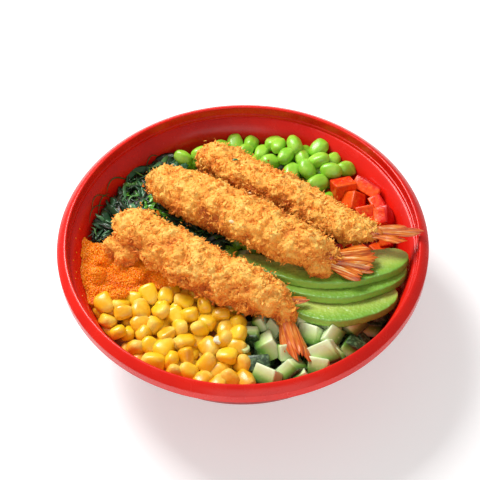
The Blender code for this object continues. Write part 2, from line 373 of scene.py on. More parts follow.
def present(obj, slotName, material, nodes=(), smooth=True):
    onlySelect(obj)
    if slotName != "bowl_plastic":
        holdIn(obj)
    bpy.ops.object.transform_apply(location=True, rotation=True, scale=True)
    if smooth:
        bpy.ops.object.shade_smooth()
    else:
        bpy.ops.object.shade_flat()
    obj.data.materials.clear()
    obj.data.materials.append(material)
    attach(obj, "root")
    if nodes:
        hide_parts(*nodes)
    obj.select_set(False)
    print("made", obj.name, len(obj.data.polygons), "faces")


def shapeOf(obj, marks=None):
    # reads a finished pattern piece as arrays, then removes it; marks are values on its points
    points = pointsOf(obj)
    loops = listOf(obj.data.loops, "vertex_index", kind=np.int32)
    sizes = listOf(obj.data.polygons, "loop_total", kind=np.int32)
    found = {key: np.array([rule(p) for p in points]) for key, rule in (marks or {}).items()}
    bpy.data.objects.remove(obj)
    return {"points": points, "loops": loops, "sizes": sizes, "marks": found}


def laidOut(name, copies):
    # one mesh from many copies: each is (shape, matrix, extra marks)
    points, loops, sizes, marks, start = [], [], [], {}, 0
    keys = set(copies[0][0]["marks"]) | set(copies[0][2])
    for shape, matrix, extra in copies:
        matrix = np.array(matrix)
        count = len(shape["points"])
        points.append(shape["points"] @ matrix[:3, :3].T + matrix[:3, 3])
        loops.append(shape["loops"] + start)
        sizes.append(shape["sizes"])
        for key in keys:
            value = extra.get(key)
            marks.setdefault(key, []).append(shape["marks"][key] if value is None else np.full(count, value))
        start += count
    points, loops, sizes = np.concatenate(points), np.concatenate(loops), np.concatenate(sizes)
    mesh = bpy.data.meshes.new(name)
    mesh.vertices.add(len(points))
    mesh.vertices.foreach_set("co", points.ravel())
    mesh.loops.add(len(loops))
    mesh.loops.foreach_set("vertex_index", loops)
    mesh.polygons.add(len(sizes))
    mesh.polygons.foreach_set("loop_start", np.concatenate([[0], np.cumsum(sizes)[:-1]]).astype(np.int32))
    mesh.update(calc_edges=True)
    for key, values in marks.items():
        setMark(mesh, key, np.concatenate(values))
    return newPiece(name, mesh)


def treeOf(*names):
    points, faces = [], []
    for name in names:
        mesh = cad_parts[name].data
        start = len(points)
        points += [v.co.copy() for v in mesh.vertices]
        faces += [[start + i for i in p.vertices] for p in mesh.polygons]
    return BVHTree.FromPolygons(points, faces)


slices = [f"avocado_slice_{i}" for i in (1, 2, 3)]
bigTree = treeOf(*slices, "shrimp_1", "shrimp_2", "shrimp_3")
bowlTree = treeOf("bowl")
heapTrees = {name: treeOf(name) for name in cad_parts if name.endswith("_heap")}


def lookDown(tree, x, y):
    # the first surface under a place well above the bowl, as (point, normal)
    return tree.ray_cast(Vector((x, y, 120 * mm)), Vector((0, 0, -1)))[:2]


def topOf(heap, x, y):
    # the heap's top at a place, as (point, normal), or nothing
    point, normal = lookDown(heapTrees[heap], x, y)
    if point is None or normal.z < 0.15:
        return None
    return point, normal


def near(tree, point):
    found = tree.find_nearest(point)
    return found[3] if found[0] is not None else 1.0


def wallGap(point):
    # room between a place and the bowl's inside, less than nothing when it is past the wall
    reach = math.hypot(point.x, point.y)
    hit = bowlTree.ray_cast(Vector((0, 0, point.z)), Vector((point.x, point.y, 0)).normalized())
    if hit[0] is None or hit[3] < reach:
        return -1.0
    return near(bowlTree, point)


def strewn(rng, heap, gap, lift, tries, wallRoom=3.0, pieceRoom=1.5, taken=None):
    # places over a heap at least gap apart, lifted off its surface, clear of the wall and the big pieces
    low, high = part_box(heap)
    chosen = [Vector(p) for p in (taken or [])]
    fresh = []
    for attempt in range(tries):
        spot = topOf(heap, rng.uniform(low.x, high.x), rng.uniform(low.y, high.y))
        if not spot:
            continue
        point = spot[0] + spot[1] * rng.uniform(lift[0], lift[1]) * mm
        if any((point - other).length < gap * mm for other in chosen):
            continue
        if wallGap(point) < wallRoom * mm or near(bigTree, point) < pieceRoom * mm:
            continue
        chosen.append(point)
        fresh.append((point, spot[1]))
    return fresh


def turned(rng, normal=None, tilt=180.0):
    # a random turn about the normal, leaning away from it by up to tilt degrees
    spin = Matrix.Rotation(rng.uniform(0, 2 * math.pi), 4, "Z")
    lean = Matrix.Rotation(math.radians(rng.uniform(-tilt, tilt)), 4, "X")
    other = Matrix.Rotation(rng.uniform(0, 2 * math.pi), 4, "Z")
    up = (normal or Vector((0, 0, 1))).to_track_quat("Z", "Y").to_matrix().to_4x4()
    return up @ spin @ lean @ other


def sized(x, y=None, z=None):
    return Matrix.Diagonal((x, x if y is None else y, x if z is None else z, 1))


bowl = {
    "steps": 176,  # round the rim
    "roughness": 0.23,
    "red": tone(222, 30, 14),
    "deepRed": tone(208, 22, 12),
}


def roundedLine(line, times):
    # cuts the corners of an open line a few times over
    for turn in range(times):
        cut = [line[0]]
        for a, b in zip(line, line[1:]):
            cut += [(a[0] * 0.75 + b[0] * 0.25, a[1] * 0.75 + b[1] * 0.25)]
            cut += [(a[0] * 0.25 + b[0] * 0.75, a[1] * 0.25 + b[1] * 0.75)]
        line = cut + [line[-1]]
    return line


def makeBowl():
    inside = wallLine(0.8)
    outside = wallLine(-0.1)
    rim = [
        (91.3, 55.0), (91.65, 55.1), (91.75, 55.5), (91.8, 56.4), (91.9, 56.7), (92.2, 56.8), (92.4, 57.0),
        (92.45, 57.6), (92.55, 61.0), (92.65, 61.7), (93.1, 62.0),
        (93.7, 62.0), (95.0, 61.4), (96.8, 60.0), (97.6, 59.2), (97.9, 58.9), (98.0, 58.5), (98.0, 54.0),
        (98.0, 53.5), (97.8, 53.2), (97.2, 53.2), (96.9, 53.5), (96.9, 57.4), (95.6, 59.2),
        (94.4, 59.4), (93.8, 57.0), (93.3, 55.6),
    ]
    line = [(0.0, 1.1)] + inside + roundedLine(rim, 2) + list(reversed(outside)) + [(0.0, 0.0)]
    mesh = bpy.data.meshes.new("bowlShell")
    mesh.from_pydata([(r * mm, 0, z * mm) for r, z in line], [(i, i + 1) for i in range(len(line) - 1)], [])
    shell = newPiece("bowlShell", mesh)
    intoEdit(shell)
    bpy.ops.mesh.spin(steps=bowl["steps"], angle=2 * math.pi, center=(0, 0, 0), axis=(0, 0, 1))
    outOfEdit()
    facesOut(shell, merge=0.02)
    points, skin = pointsOf(shell), np.array(outside) * mm
    beyond = np.hypot(points[:, 0], points[:, 1]) > np.interp(points[:, 2], skin[:, 1], skin[:, 0]) - 0.4 * mm
    below = (beyond & (points[:, 2] < 53.6 * mm)).astype(float)
    setMark(shell.data, "outer", below)
    paint = Paint("bowlPlastic")
    outer = paint.mark("outer")
    film = paint.clouds(26, detail=2)
    grease = paint.clouds(7, detail=4, rough=0.6)
    scratch = paint.clouds(1.1, detail=2, vector=paint.stretched(1, 1, 0.16))
    colour = paint.mix(paint.between(film, 0.35, 0.7), bowl["red"], bowl["deepRed"])
    # the outside under the rim is painted a darker red: painted shade
    colour = paint.mix(outer * 0.9, colour, tone(148, 8, 6))
    rough = bowl["roughness"] + 0.25 * outer + 0.14 * paint.between(grease, 0.5, 0.75) + 0.03 * scratch
    uneven = paint.dents(34, 0.35, 0.25, under=paint.bump(scratch, 0.02, 0.2), detail=1)
    present(shell, "bowl_plastic", paint.done(colour, rough, uneven, shine=0.32), ["bowl"])


corn = {
    "size": (10.8, 9.4, 7.2),  # length, width and thickness of a kernel, mm
    "gap": 7.3,
    "yellow": tone(244, 198, 24),
    "deep": tone(230, 168, 12),
    "pale": tone(248, 210, 66),
    "shade": tone(120, 62, 10),
}


def kernelShape(rng, kind, shift):
    kernel = started(bpy.ops.mesh.primitive_cube_add, size=1)
    intoEdit(kernel)
    bpy.ops.mesh.subdivide(number_cuts=1)
    bpy.ops.transform.tosphere(value=0.26)
    pickPoints(kernel, lambda p: p.x < -0.2)  # the narrow end, which sat on the cob
    bpy.ops.transform.resize(value=(0.4, rng.uniform(0.55, 0.75), 0.75))
    pickPoints(kernel, lambda p: p.x > 0.25 and abs(p.y) < 0.2 and abs(p.z) < 0.25)  # the dent in the crown
    bpy.ops.transform.translate(value=(-0.1 if kind != "round" else 0.04, 0, 0))
    if kind == "hollow":
        pickPoints(kernel, lambda p: p.z > 0.25 and abs(p.x) < 0.3 and abs(p.y) < 0.2)
        bpy.ops.transform.translate(value=(0, 0, -0.24))
    if kind == "bean":
        pickPoints(kernel, lambda p: abs(p.x) < 0.25)
        bpy.ops.transform.translate(value=(0, 0.11, 0))
    outOfEdit()
    rounded(kernel)
    for point in kernel.data.vertices:
        point.co += noise.noise_vector(point.co * 2.3 + Vector((rng.random() * 0.02, shift, 0))) * 0.07
    length, width, thick = corn["size"]
    scaled(kernel, length * mm, width * mm, thick * mm)
    tip = length * mm
    return shapeOf(kernel, {"tip": lambda p: clamped(-p[0] / tip * 6.0 - 1.3)})


def makeCorn():
    rng = random.Random(11)
    kinds = ["round", "tooth", "hollow", "bean", "tooth", "round"]
    shapes = [kernelShape(rng, kind, index * 3.7) for index, kind in enumerate(kinds)]
    low = strewn(rng, "corn_heap", 6.6, (-7.0, -5.0), 2600)
    high = strewn(rng, "corn_heap", corn["gap"], (-2.6, 0.2), 7000, wallRoom=4.6, pieceRoom=2.6)
    copies = []
    for point, normal in low + high:
        if point.y > -14 * mm and point.x > -40 * mm:  # nothing shows past the front shrimp
            continue
        turn = turned(rng, normal, 50) @ Matrix.Rotation(rng.choice((0, 0, 1.2, -1.4)), 4, "Y")
        size = rng.uniform(0.86, 1.12)
        copies.append((rng.choice(shapes), Matrix.Translation(point) @ turn @ sized(size), {"tint": rng.random()}))
    kernels = laidOut("cornKernels", copies)
    paint = Paint("cornSkin")
    tint = paint.mark("tint")
    tip = paint.mark("tip")
    streak = paint.clouds(1.6, detail=3, rough=0.6)
    body = paint.mix(paint.between(tint, 0.1, 0.9), corn["yellow"], corn["deep"])
    body = paint.flecked(body, corn["pale"], 4.5, 0.42, 0.66, 0.6)
    body = paint.mix(tip * (0.3 + 0.6 * streak), body, tone(240, 208, 96))
    rough = 0.27 + 0.3 * tip + 0.12 * streak
    wrinkle = paint.bump(paint.clouds(1.3, detail=2) * tip + 0.25 * paint.clouds(2.4), 0.5, 0.6)
    skin = paint.done(body, rough, wrinkle, glow=(0.25, 0.002, (1.0, 0.75, 0.2)), coat=(0.15, 0.15))
    present(kernels, "corn", skin)
    heapCore("corn", 4.4, (6, 2.4), 5.5, [(0.15, tone(196, 128, 30)), (0.7, corn["shade"])], (2.0, 0.6))
    makeChips()


def makeChips():
    # two thin offcuts of cucumber that lie among the kernels
    chips = {"places": [(-13, -56, 1.6, 25, 0.15), (0, -60.5, 1.4, 100, 0.95)], "size": (7.5, 5.0, 5.94)}
    copies = []
    for x, y, lift, turn, green in chips["places"]:
        spot = topOf("corn_heap", x * mm, y * mm) or topOf("cucumber_heap", x * mm, y * mm)
        chip = started(bpy.ops.mesh.primitive_cylinder_add, vertices=9, radius=0.5, depth=0.3)
        intoEdit(chip)
        bpy.ops.mesh.bevel(offset=0.08, segments=2, affect="EDGES")
        outOfEdit()
        shape = shapeOf(chip, {"skin": lambda p: 0.75 if p[0] > 0.3 else 0.1})
        lie = Matrix.Rotation(math.radians(turn), 4, "Z") @ Matrix.Rotation(0.5, 4, "Y")
        place = Matrix.Translation(spot[0] + Vector((0, 0, lift * mm)))
        copies.append((shape, place @ lie @ sized(*(v * mm for v in chips["size"])), {"tint": green}))
    chipsPiece = laidOut("cucumberChips", copies)
    paint = Paint("chipFlesh")
    tint = paint.mark("tint")
    colour = paint.mix(tint * 0.8 + paint.mark("skin") * 0.3, tone(236, 236, 214), tone(172, 190, 96))
    rough, wet = 0.3 + 0.2 * paint.clouds(2), paint.dents(1.2, 0.3, 0.5)
    present(chipsPiece, "cucumber", paint.done(colour, rough, wet, glow=(0.2, 0.002)))


def diceShape(rng, shift, skinBulge):
    # a knife-cut cube, a little out of true, whose +Z face is the skin
    dice = started(bpy.ops.mesh.primitive_cube_add, size=1)
    intoEdit(dice)
    pickPoints(dice, lambda p: p.z > 0.4)
    bpy.ops.transform.resize(value=(rng.uniform(0.84, 1.1), rng.uniform(0.84, 1.1), 1))
    bpy.ops.transform.translate(value=(rng.uniform(-0.12, 0.12), rng.uniform(-0.12, 0.12), 0))
    pickPoints(dice, lambda p: p.x > 0.2)
    bpy.ops.transform.translate(value=(0, rng.uniform(-0.09, 0.09), rng.uniform(-0.12, 0.12)))
    bpy.ops.mesh.select_all(action="SELECT")
    bpy.ops.mesh.bevel(offset=0.07, segments=2, affect="EDGES")
    pickFaces(dice, lambda f: f.calc_area() > 0.35)
    bpy.ops.mesh.inset(thickness=0.13, use_individual=True)
    bpy.ops.mesh.inset(thickness=0.14, use_individual=True)
    pickPoints(dice, lambda p: p.z > 0.38 and abs(p.x) < 0.3 and abs(p.y) < 0.3)
    bpy.ops.transform.translate(value=(0, 0, skinBulge))
    outOfEdit()
    for point in dice.data.vertices:
        point.co += noise.noise_vector(point.co * 1.6 + Vector((shift, 0, 0))) * 0.07
    return shapeOf(dice, {"skin": lambda p: clamped(0.5 + p[2])})


cucumber = {
    # seen dice: x, y, lift, size in mm, then which way the skin looks (azimuth, height in degrees) and the turn
    "seen": [
        (2, -50, -1.0, 10.5, 260, 10, 10), (11, -57, 1.5, 12.0, 200, -20, 35), (6, -68, 0.5, 10.5, 250, 70, 20),
        (10, -75, 0.0, 12.5, 240, -30, 12), (23, -71, 0.5, 11.0, 300, -10, 50), (21, -61, 2.0, 9.5, 120, -40, 15),
        (8, -42, -0.5, 8.5, 180, -30, 30), (16, -46, 0.5, 9.5, 40, -30, 5), (34, -51, 2.0, 11.5, 250, -30, 25),
        (32, -41, 0.5, 11.0, 90, 0, 10), (42, -41, 1.0, 11.0, 20, -40, 50), (44, -54, 1.5, 9.5, 330, -30, 10),
        (46, -47, 2.0, 8.0, 60, 20, 30), (40, -63, 2.0, 13.5, 290, -25, 30), (56, -47, 2.0, 10.5, 320, -40, 8),
        (69, -48, 0.0, 10.5, 60, 60, 30), (55, -59, 1.0, 10.5, 20, 65, 40), (38, -73, 1.0, 11.5, 260, -25, 5),
        (29, -79, -0.5, 9.0, 200, -20, 40), (48, -68, 0.5, 10.0, 320, -10, 20), (62, -55, -2.5, 9.0, 20, 50, 15),
        (72, -42, 1.0, 10.0, 280, 50, 20), (79, -36, 0.0, 9.5, 290, 45, 40),
    ],
    "white": tone(216, 234, 184),
    "green": tone(108, 156, 58),
    "skin": tone(32, 62, 26),
}


def lookingAt(azimuth, height, turn):
    a, h = math.radians(azimuth), math.radians(height)
    way = Vector((math.cos(a) * math.cos(h), math.sin(a) * math.cos(h), math.sin(h)))
    return way.to_track_quat("Z", "Y").to_matrix().to_4x4() @ Matrix.Rotation(math.radians(turn), 4, "Z")


def keepInside(point, room, rise=0.15):
    # draws a place in from the wall, and up it, until a piece of that half size is clear of it
    point = point.copy()
    for step in range(40):
        if wallGap(point) >= room:
            break
        inward = Vector((-point.x, -point.y, 0)).normalized()
        point += (inward + Vector((0, 0, rise))) * 0.4 * mm
    return point


def apart(places, gap, room):
    # eases places away from each other until none is nearer than the gap, and keeps them off the wall
    for turn in range(14):
        for i, one in enumerate(places):
            for other in places[:i]:
                between = one - other
                short = gap - between.length
                if short > 0:
                    step = between.normalized() * short * 0.25
                    one += step
                    other -= step
        places = [keepInside(place, room) for place in places]
    return places


def laidDice(rng, heap, entries, shapes, filler, fillerSize, gap):
    copies, taken = [], []
    for x, y, lift, size, azimuth, height, turn, *longer in entries:
        spot = topOf(heap, x * mm, y * mm)
        if not spot:
            print("no place for", heap, x, y)
            continue
        point = keepInside(spot[0] + Vector((0, 0, (lift - size * 0.28) * mm)), size * 0.56 * mm)
        taken.append(point)
        size *= mm
        scale = sized(size * (longer or [1])[0], size * rng.uniform(0.82, 1.05), size * rng.uniform(0.72, 0.98))
        copies.append((rng.choice(shapes), Matrix.Translation(point) @ lookingAt(azimuth, height, turn) @ scale,
                       {"tint": rng.random()}))
    for point, normal in strewn(rng, heap, gap, filler, 3500, wallRoom=6.0, pieceRoom=4.0, taken=taken):
        size = rng.uniform(*fillerSize) * mm
        copies.append((rng.choice(shapes), Matrix.Translation(point) @ turned(rng) @ sized(size, size, size * 0.85),
                       {"tint": rng.random()}))
    return copies


def makeCucumber():
    rng = random.Random(23)
    shapes = [diceShape(rng, index * 2.9, 0.05) for index in range(5)]
    copies = laidDice(rng, "cucumber_heap", cucumber["seen"], shapes, (-14.0, -10.5), (8.5, 10.5), 8.2)
    dice = laidOut("cucumberDice", copies)
    paint = Paint("cucumberFlesh")
    depth = paint.mark("skin")
    tint = paint.mark("tint")
    veins = paint.clouds(2.2, detail=4, rough=0.65)
    flesh = paint.ramp(depth + 0.2 * (tint - 0.5) + 0.05 * (veins - 0.5), (0.12, cucumber["white"]),
                       (0.4, tone(190, 216, 136)), (0.66, cucumber["green"]), (0.86, tone(58, 100, 32)))
    flesh = paint.mix(paint.between(paint.cells(3.1), 0.05, 0.3, 0.3, 0.0), flesh, tone(200, 210, 150))
    mottled = paint.mix(paint.between(paint.clouds(1.5, detail=4), 0.45, 0.65), cucumber["skin"], tone(92, 124, 78))
    skinPart = paint.between(depth + 0.05 * (veins - 0.5), 0.89, 0.94)
    colour = paint.mix(skinPart, flesh, mottled)
    rough = 0.26 + 0.2 * veins + 0.1 * skinPart
    wet = paint.dents(0.9, 0.22, 0.5, under=paint.dents(5, 0.9, 0.4))
    skin = paint.done(colour, rough, wet, glow=(0.2, 0.003, (0.9, 1.0, 0.5)), coat=(0.15, 0.15))
    present(dice, "cucumber", skin)
    heapCore("cucumber", 11.5, (8, 2.5), 8, [(0.1, tone(48, 62, 28)), (0.6, tone(18, 24, 12))])


tomato = {
    "seen": [
        (57.5, 43.5, 2.6, 11.0, 110, -20, 4, 1.1), (71, 43, 4.5, 8.5, 50, 30, 0, 1.9),
        (62, 35, 3.0, 10.5, 10, -40, 30),
        (69, 26.5, 2.4, 10.5, 280, -30, 15), (77, 32, 3.0, 10.0, 20, 20, 10), (78, 22, 3.0, 11.0, 350, 30, 20),
        (66, 39, -3.0, 9.0, 60, 20, 10), (71, 34, -2.5, 9.0, 120, 20, 40), (83, 13, -2.0, 9.5, 350, 20, 30),
        (70, 18, -2.0, 9.5, 250, 10, 40), (52, 48, -2.5, 9.0, 60, 20, 10),
    ],
    "flesh": tone(224, 34, 8),
    "skin": tone(200, 14, 6),
    "seedy": tone(250, 112, 16),
}


def makeTomato():
    rng = random.Random(37)
    shapes = [diceShape(rng, 20 + index * 2.3, 0.09) for index in range(4)]
    copies = laidDice(rng, "tomato_heap", tomato["seen"], shapes, (-12.0, -9.0), (8.0, 9.5), 8.2)
    dice = laidOut("tomatoDice", copies)
    paint = Paint("tomatoFlesh")
    depth = paint.mark("skin")
    tint = paint.mark("tint")
    grain = paint.clouds(2.6, detail=4, rough=0.6)
    flesh = paint.mix(paint.between(grain, 0.42, 0.62), tomato["flesh"], tone(240, 76, 14))
    flesh = paint.mix(paint.between(depth + 0.5 * (tint - 0.5), 0.62, 0.2, 0.0, 0.4), flesh, tomato["seedy"])
    flesh = paint.flecked(flesh, tone(248, 126, 48), 3.4, 0.56, 0.7, 0.45)
    colour = paint.mix(paint.between(depth + 0.1 * (grain - 0.5), 0.84, 0.92), flesh, tomato["skin"])
    rough = 0.2 + 0.22 * grain
    wet = paint.dents(1.2, 0.3, 0.45, under=paint.dents(4.5, 0.9, 0.4))
    present(dice, "tomato", paint.done(colour, rough, wet, glow=(0.15, 0.002, (1.0, 0.2, 0.05)), shine=0.4))
    shades = [(0.1, tone(150, 20, 8)), (0.6, tone(70, 8, 4))]
    heapCore("tomato", 9.0, (8, 2.0), 8, shades, rough=(0.75, 0.2), shine=0.1)


edamame = {
    # beans that lie on top: x, y, lift in mm and turn in degrees
    "seen": [
        (7, 83, -0.5, 80), (13, 77, 0.5, 70), (28, 83, 0.0, 20), (39, 77, 0.5, 50), (52, 69, 0.5, 10),
        (44, 62, 2.0, 60), (24, 67, 1.5, 100), (35, 66, 2.5, 80), (32, 56, 0.5, 30), (43, 49, 0.0, 350), (52, 56, 1.5, 20),
        (59, 58, 0.5, 80), (22, 76, 2.0, 20), (16, 67, 0.5, 60), (19, 83, 1.0, 120), (64, 53, 0.0, 100),
        (36, 57, 2.0, 45), (-3, 81, -0.5, 100), (46, 72, 2.0, 330), (30, 71, 3.0, 15), (-33, 70, 1.0, 40),
        (-22, 71, 1.0, 60), (4, 75, -0.5, 30), (11, 70, 0.0, 150), (-10, 79, 0.0, 20),
    ],
    "size": (13.4, 9.4, 8.4),
    "green": tone(134, 200, 40),
    "pale": tone(184, 226, 92),
    "shade": tone(40, 40, 10),
}


def beanShape(shift):
    bean = started(bpy.ops.mesh.primitive_cube_add, size=1)
    intoEdit(bean)
    bpy.ops.mesh.subdivide(number_cuts=3)
    bpy.ops.transform.tosphere(value=1.0)
    pickPoints(bean, lambda p: abs(p.y) < 0.05)  # the seam between the two halves
    bpy.ops.transform.resize(value=(0.97, 1, 0.9))
    pickPoints(bean, lambda p: p.x > 0.1 and p.y < 0.3)
    bpy.ops.transform.translate(value=(0.03, -0.05, 0))
    outOfEdit()
    rounded(bean)
    for point in bean.data.vertices:
        point.co += noise.noise_vector(point.co * 2.0 + Vector((0, shift, 0))) * 0.06
    reach = max(v.co.x for v in bean.data.vertices) * 2
    scaled(bean, *(v * mm / reach for v in edamame["size"]))
    return shapeOf(bean)


def makeEdamame():
    rng = random.Random(41)
    shapes = [beanShape(index * 5.1) for index in range(4)]
    copies, taken = [], []
    for x, y, lift, turn in edamame["seen"]:
        spot = topOf("edamame_heap", x * mm, y * mm) or topOf("seaweed_heap", x * mm, y * mm)
        if not spot:
            print("no place for bean", x, y)
            continue
        taken.append(spot[0] + Vector((0, 0, (lift * 1.5 + 0.2 + rng.uniform(-0.6, 0.6)) * mm)))
    taken = apart(taken, 9.6 * mm, 4.6 * mm)
    for point, (x, y, lift, turn) in zip(taken, edamame["seen"]):
        roll, pitch = rng.uniform(-0.9, 0.9), rng.uniform(-0.45, 0.45)
        lie = Matrix.Rotation(math.radians(turn), 4, "Z") @ Euler((roll, pitch, 0)).to_matrix().to_4x4()
        copies.append((rng.choice(shapes), Matrix.Translation(point) @ lie @ sized(rng.uniform(0.92, 1.1)),
                       {"tint": rng.random()}))
    spots = strewn(rng, "edamame_heap", 9.0, (-9.0, -5.5), 4000, wallRoom=4.6, pieceRoom=2.6, taken=taken)
    for point, normal in spots:
        shape, turn = rng.choice(shapes), turned(rng, normal, 60)
        lie = Matrix.Translation(point) @ turn @ sized(rng.uniform(0.85, 1.05))
        copies.append((shape, lie, {"tint": rng.random()}))
    beans = laidOut("edamameBeans", copies)
    paint = Paint("edamameSkin")
    tint = paint.mark("tint")
    soft = paint.clouds(5, detail=2)
    colour = paint.mix(paint.between(tint, 0.0, 1.0) * 0.75, edamame["green"], tone(160, 214, 62))
    colour = paint.mix(paint.between(soft, 0.45, 0.7) * 0.6, colour, edamame["pale"])
    colour = paint.flecked(colour, tone(112, 174, 26), 1.8, 0.6, 0.75, 0.35)
    rough = 0.28 + 0.14 * soft
    dents = paint.dents(1.4, 0.2, 0.4, under=paint.dents(4, 0.6, 0.3), detail=2)
    skin = paint.done(colour, rough, dents, glow=(0.25, 0.003, (0.6, 1.0, 0.2)), coat=(0.15, 0.15))
    present(beans, "edamame", skin)
    heapCore("edamame", 8.0, (7, 2.4), 7, [(0.1, tone(90, 104, 30)), (0.6, edamame["shade"])])


seaweed = {
    "strands": 420,
    "bands": 150,
    "leaves": 76,
    "bright": 20,
    "length": (9, 26),
    "width": (0.5, 1.4),
    "dark": tone(26, 54, 30),
    "green": tone(38, 92, 52),
    "leaf": tone(92, 168, 34),
}


def ribbon(points, ups, width, thick, ends=0.25):
    # a thin band along a line, six-sided in section, narrowing to both ends
    count = len(points)
    ring = [(1, 0), (0.5, 1), (-0.5, 1), (-1, 0), (-0.5, -1), (0.5, -1)]  # side and rise of its corners
    out, along = [], []
    for i in range(count):
        ahead = (points[min(i + 1, count - 1)] - points[max(i - 1, 0)]).normalized()
        side = ahead.cross(ups[i]).normalized()
        rise = side.cross(ahead)
        part = i / (count - 1)
        narrow = ends + (1 - ends) * min(1.0, 4 * part, 4 * (1 - part))
        for a, b in ring:
            out.append(points[i] + side * a * width * narrow / 2 + rise * b * thick * narrow / 2)
    loops, sizes = [], []
    for i in range(count - 1):
        for k in range(6):
            a, b = i * 6 + k, i * 6 + (k + 1) % 6
            loops += [a, b, b + 6, a + 6]
            sizes.append(4)
    loops += [5, 4, 3, 2, 1, 0]
    loops += [(count - 1) * 6 + k for k in range(6)]
    sizes += [6, 6]
    loops, sizes = np.array(loops, np.int32), np.array(sizes, np.int32)
    return {"points": np.array(out), "loops": loops, "sizes": sizes, "marks": {}}


def wander(rng, start, heading, steps, stride, curl, hump, lift):
    # a line that winds over the seaweed's surface, with a hump in its middle
    points, ups = [], []
    x, y = start
    drift = rng.uniform(-curl, curl)
    phase = rng.uniform(0, 6)
    for i in range(steps):
        spot = topOf("seaweed_heap", x, y)
        if spot is None:
            break
        part = i / (steps - 1)
        rise = lift + hump * math.sin(math.pi * part) + 0.5 * math.sin(phase + 5 * part)
        point = spot[0] + spot[1] * rise * mm
        if near(bowlTree, point) < 1.2 * mm or near(bigTree, point) < 0.7 * mm:
            break
        points.append(point)
        lean = Vector((math.sin(phase + 4 * part), math.cos(phase + 3 * part), 0)) * 0.9
        ups.append((spot[1] + lean).normalized())
        heading += drift + rng.gauss(0, curl * 0.6)
        x += math.cos(heading) * stride * mm
        y += math.sin(heading) * stride * mm
    return points, ups


def makeSeaweed():
    rng = random.Random(53)
    low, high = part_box("seaweed_heap")
    copies, stride = [], 1.1
    for attempt in range(seaweed["strands"] * 3):
        if len(copies) >= seaweed["strands"]:
            break
        start = (rng.uniform(low.x, high.x), rng.uniform(low.y, high.y))
        steps = int(rng.uniform(*seaweed["length"]) / stride)
        lift = rng.uniform(-2.6, 1.0)
        points, ups = wander(rng, start, rng.uniform(0, 6.3), steps, stride, 0.2, rng.uniform(0, 2.6), lift)
        if len(points) < 6:
            continue
        width = rng.uniform(*seaweed["width"]) * mm
        band = ribbon(points, ups, width, rng.uniform(0.35, 0.6) * mm)
        copies.append((band, Matrix.Identity(4), {"tint": rng.random()}))
    while len(copies) < seaweed["strands"] + seaweed["bands"]:  # broad smooth bands over the thin ones
        start = (rng.uniform(low.x, high.x), rng.uniform(low.y, high.y))
        heading, steps = rng.uniform(0, 6.3), rng.randint(14, 30)
        points, ups = wander(rng, start, heading, steps, stride, 0.09, rng.uniform(0.5, 3.4), 0.3)
        if len(points) < 9:
            continue
        band = ribbon(points, ups, rng.uniform(2.2, 5.2) * mm, 0.5 * mm)
        copies.append((band, Matrix.Identity(4), {"tint": rng.random()}))
    strands = laidOut("seaweedStrands", copies)
    paint = Paint("seaweedBand")
    tint = paint.mark("tint")
    blotch = paint.clouds(3, detail=3)
    colour = paint.ramp(tint, (0.0, tone(40, 34, 20)), (0.25, seaweed["dark"]), (0.6, seaweed["green"]),
                        (0.86, tone(70, 132, 84)), (1.0, tone(104, 150, 50)))
    colour = paint.mix(paint.between(blotch, 0.45, 0.7) * 0.4, colour, tone(28, 40, 26))
    rough = 0.26 + 0.3 * blotch
    ripple = paint.dents(0.8, 0.2, 0.6)
    present(strands, "seaweed", paint.done(colour, rough, ripple, coat=(0.2, 0.18)))
    makeLeaves(rng)
    shades = [(0.1, tone(48, 46, 26)), (0.7, tone(20, 14, 8))]
    heapCore("seaweed", 4.8, (4, 2.8), 3, shades, (1.5, 0.7), (0.4, 0.3))


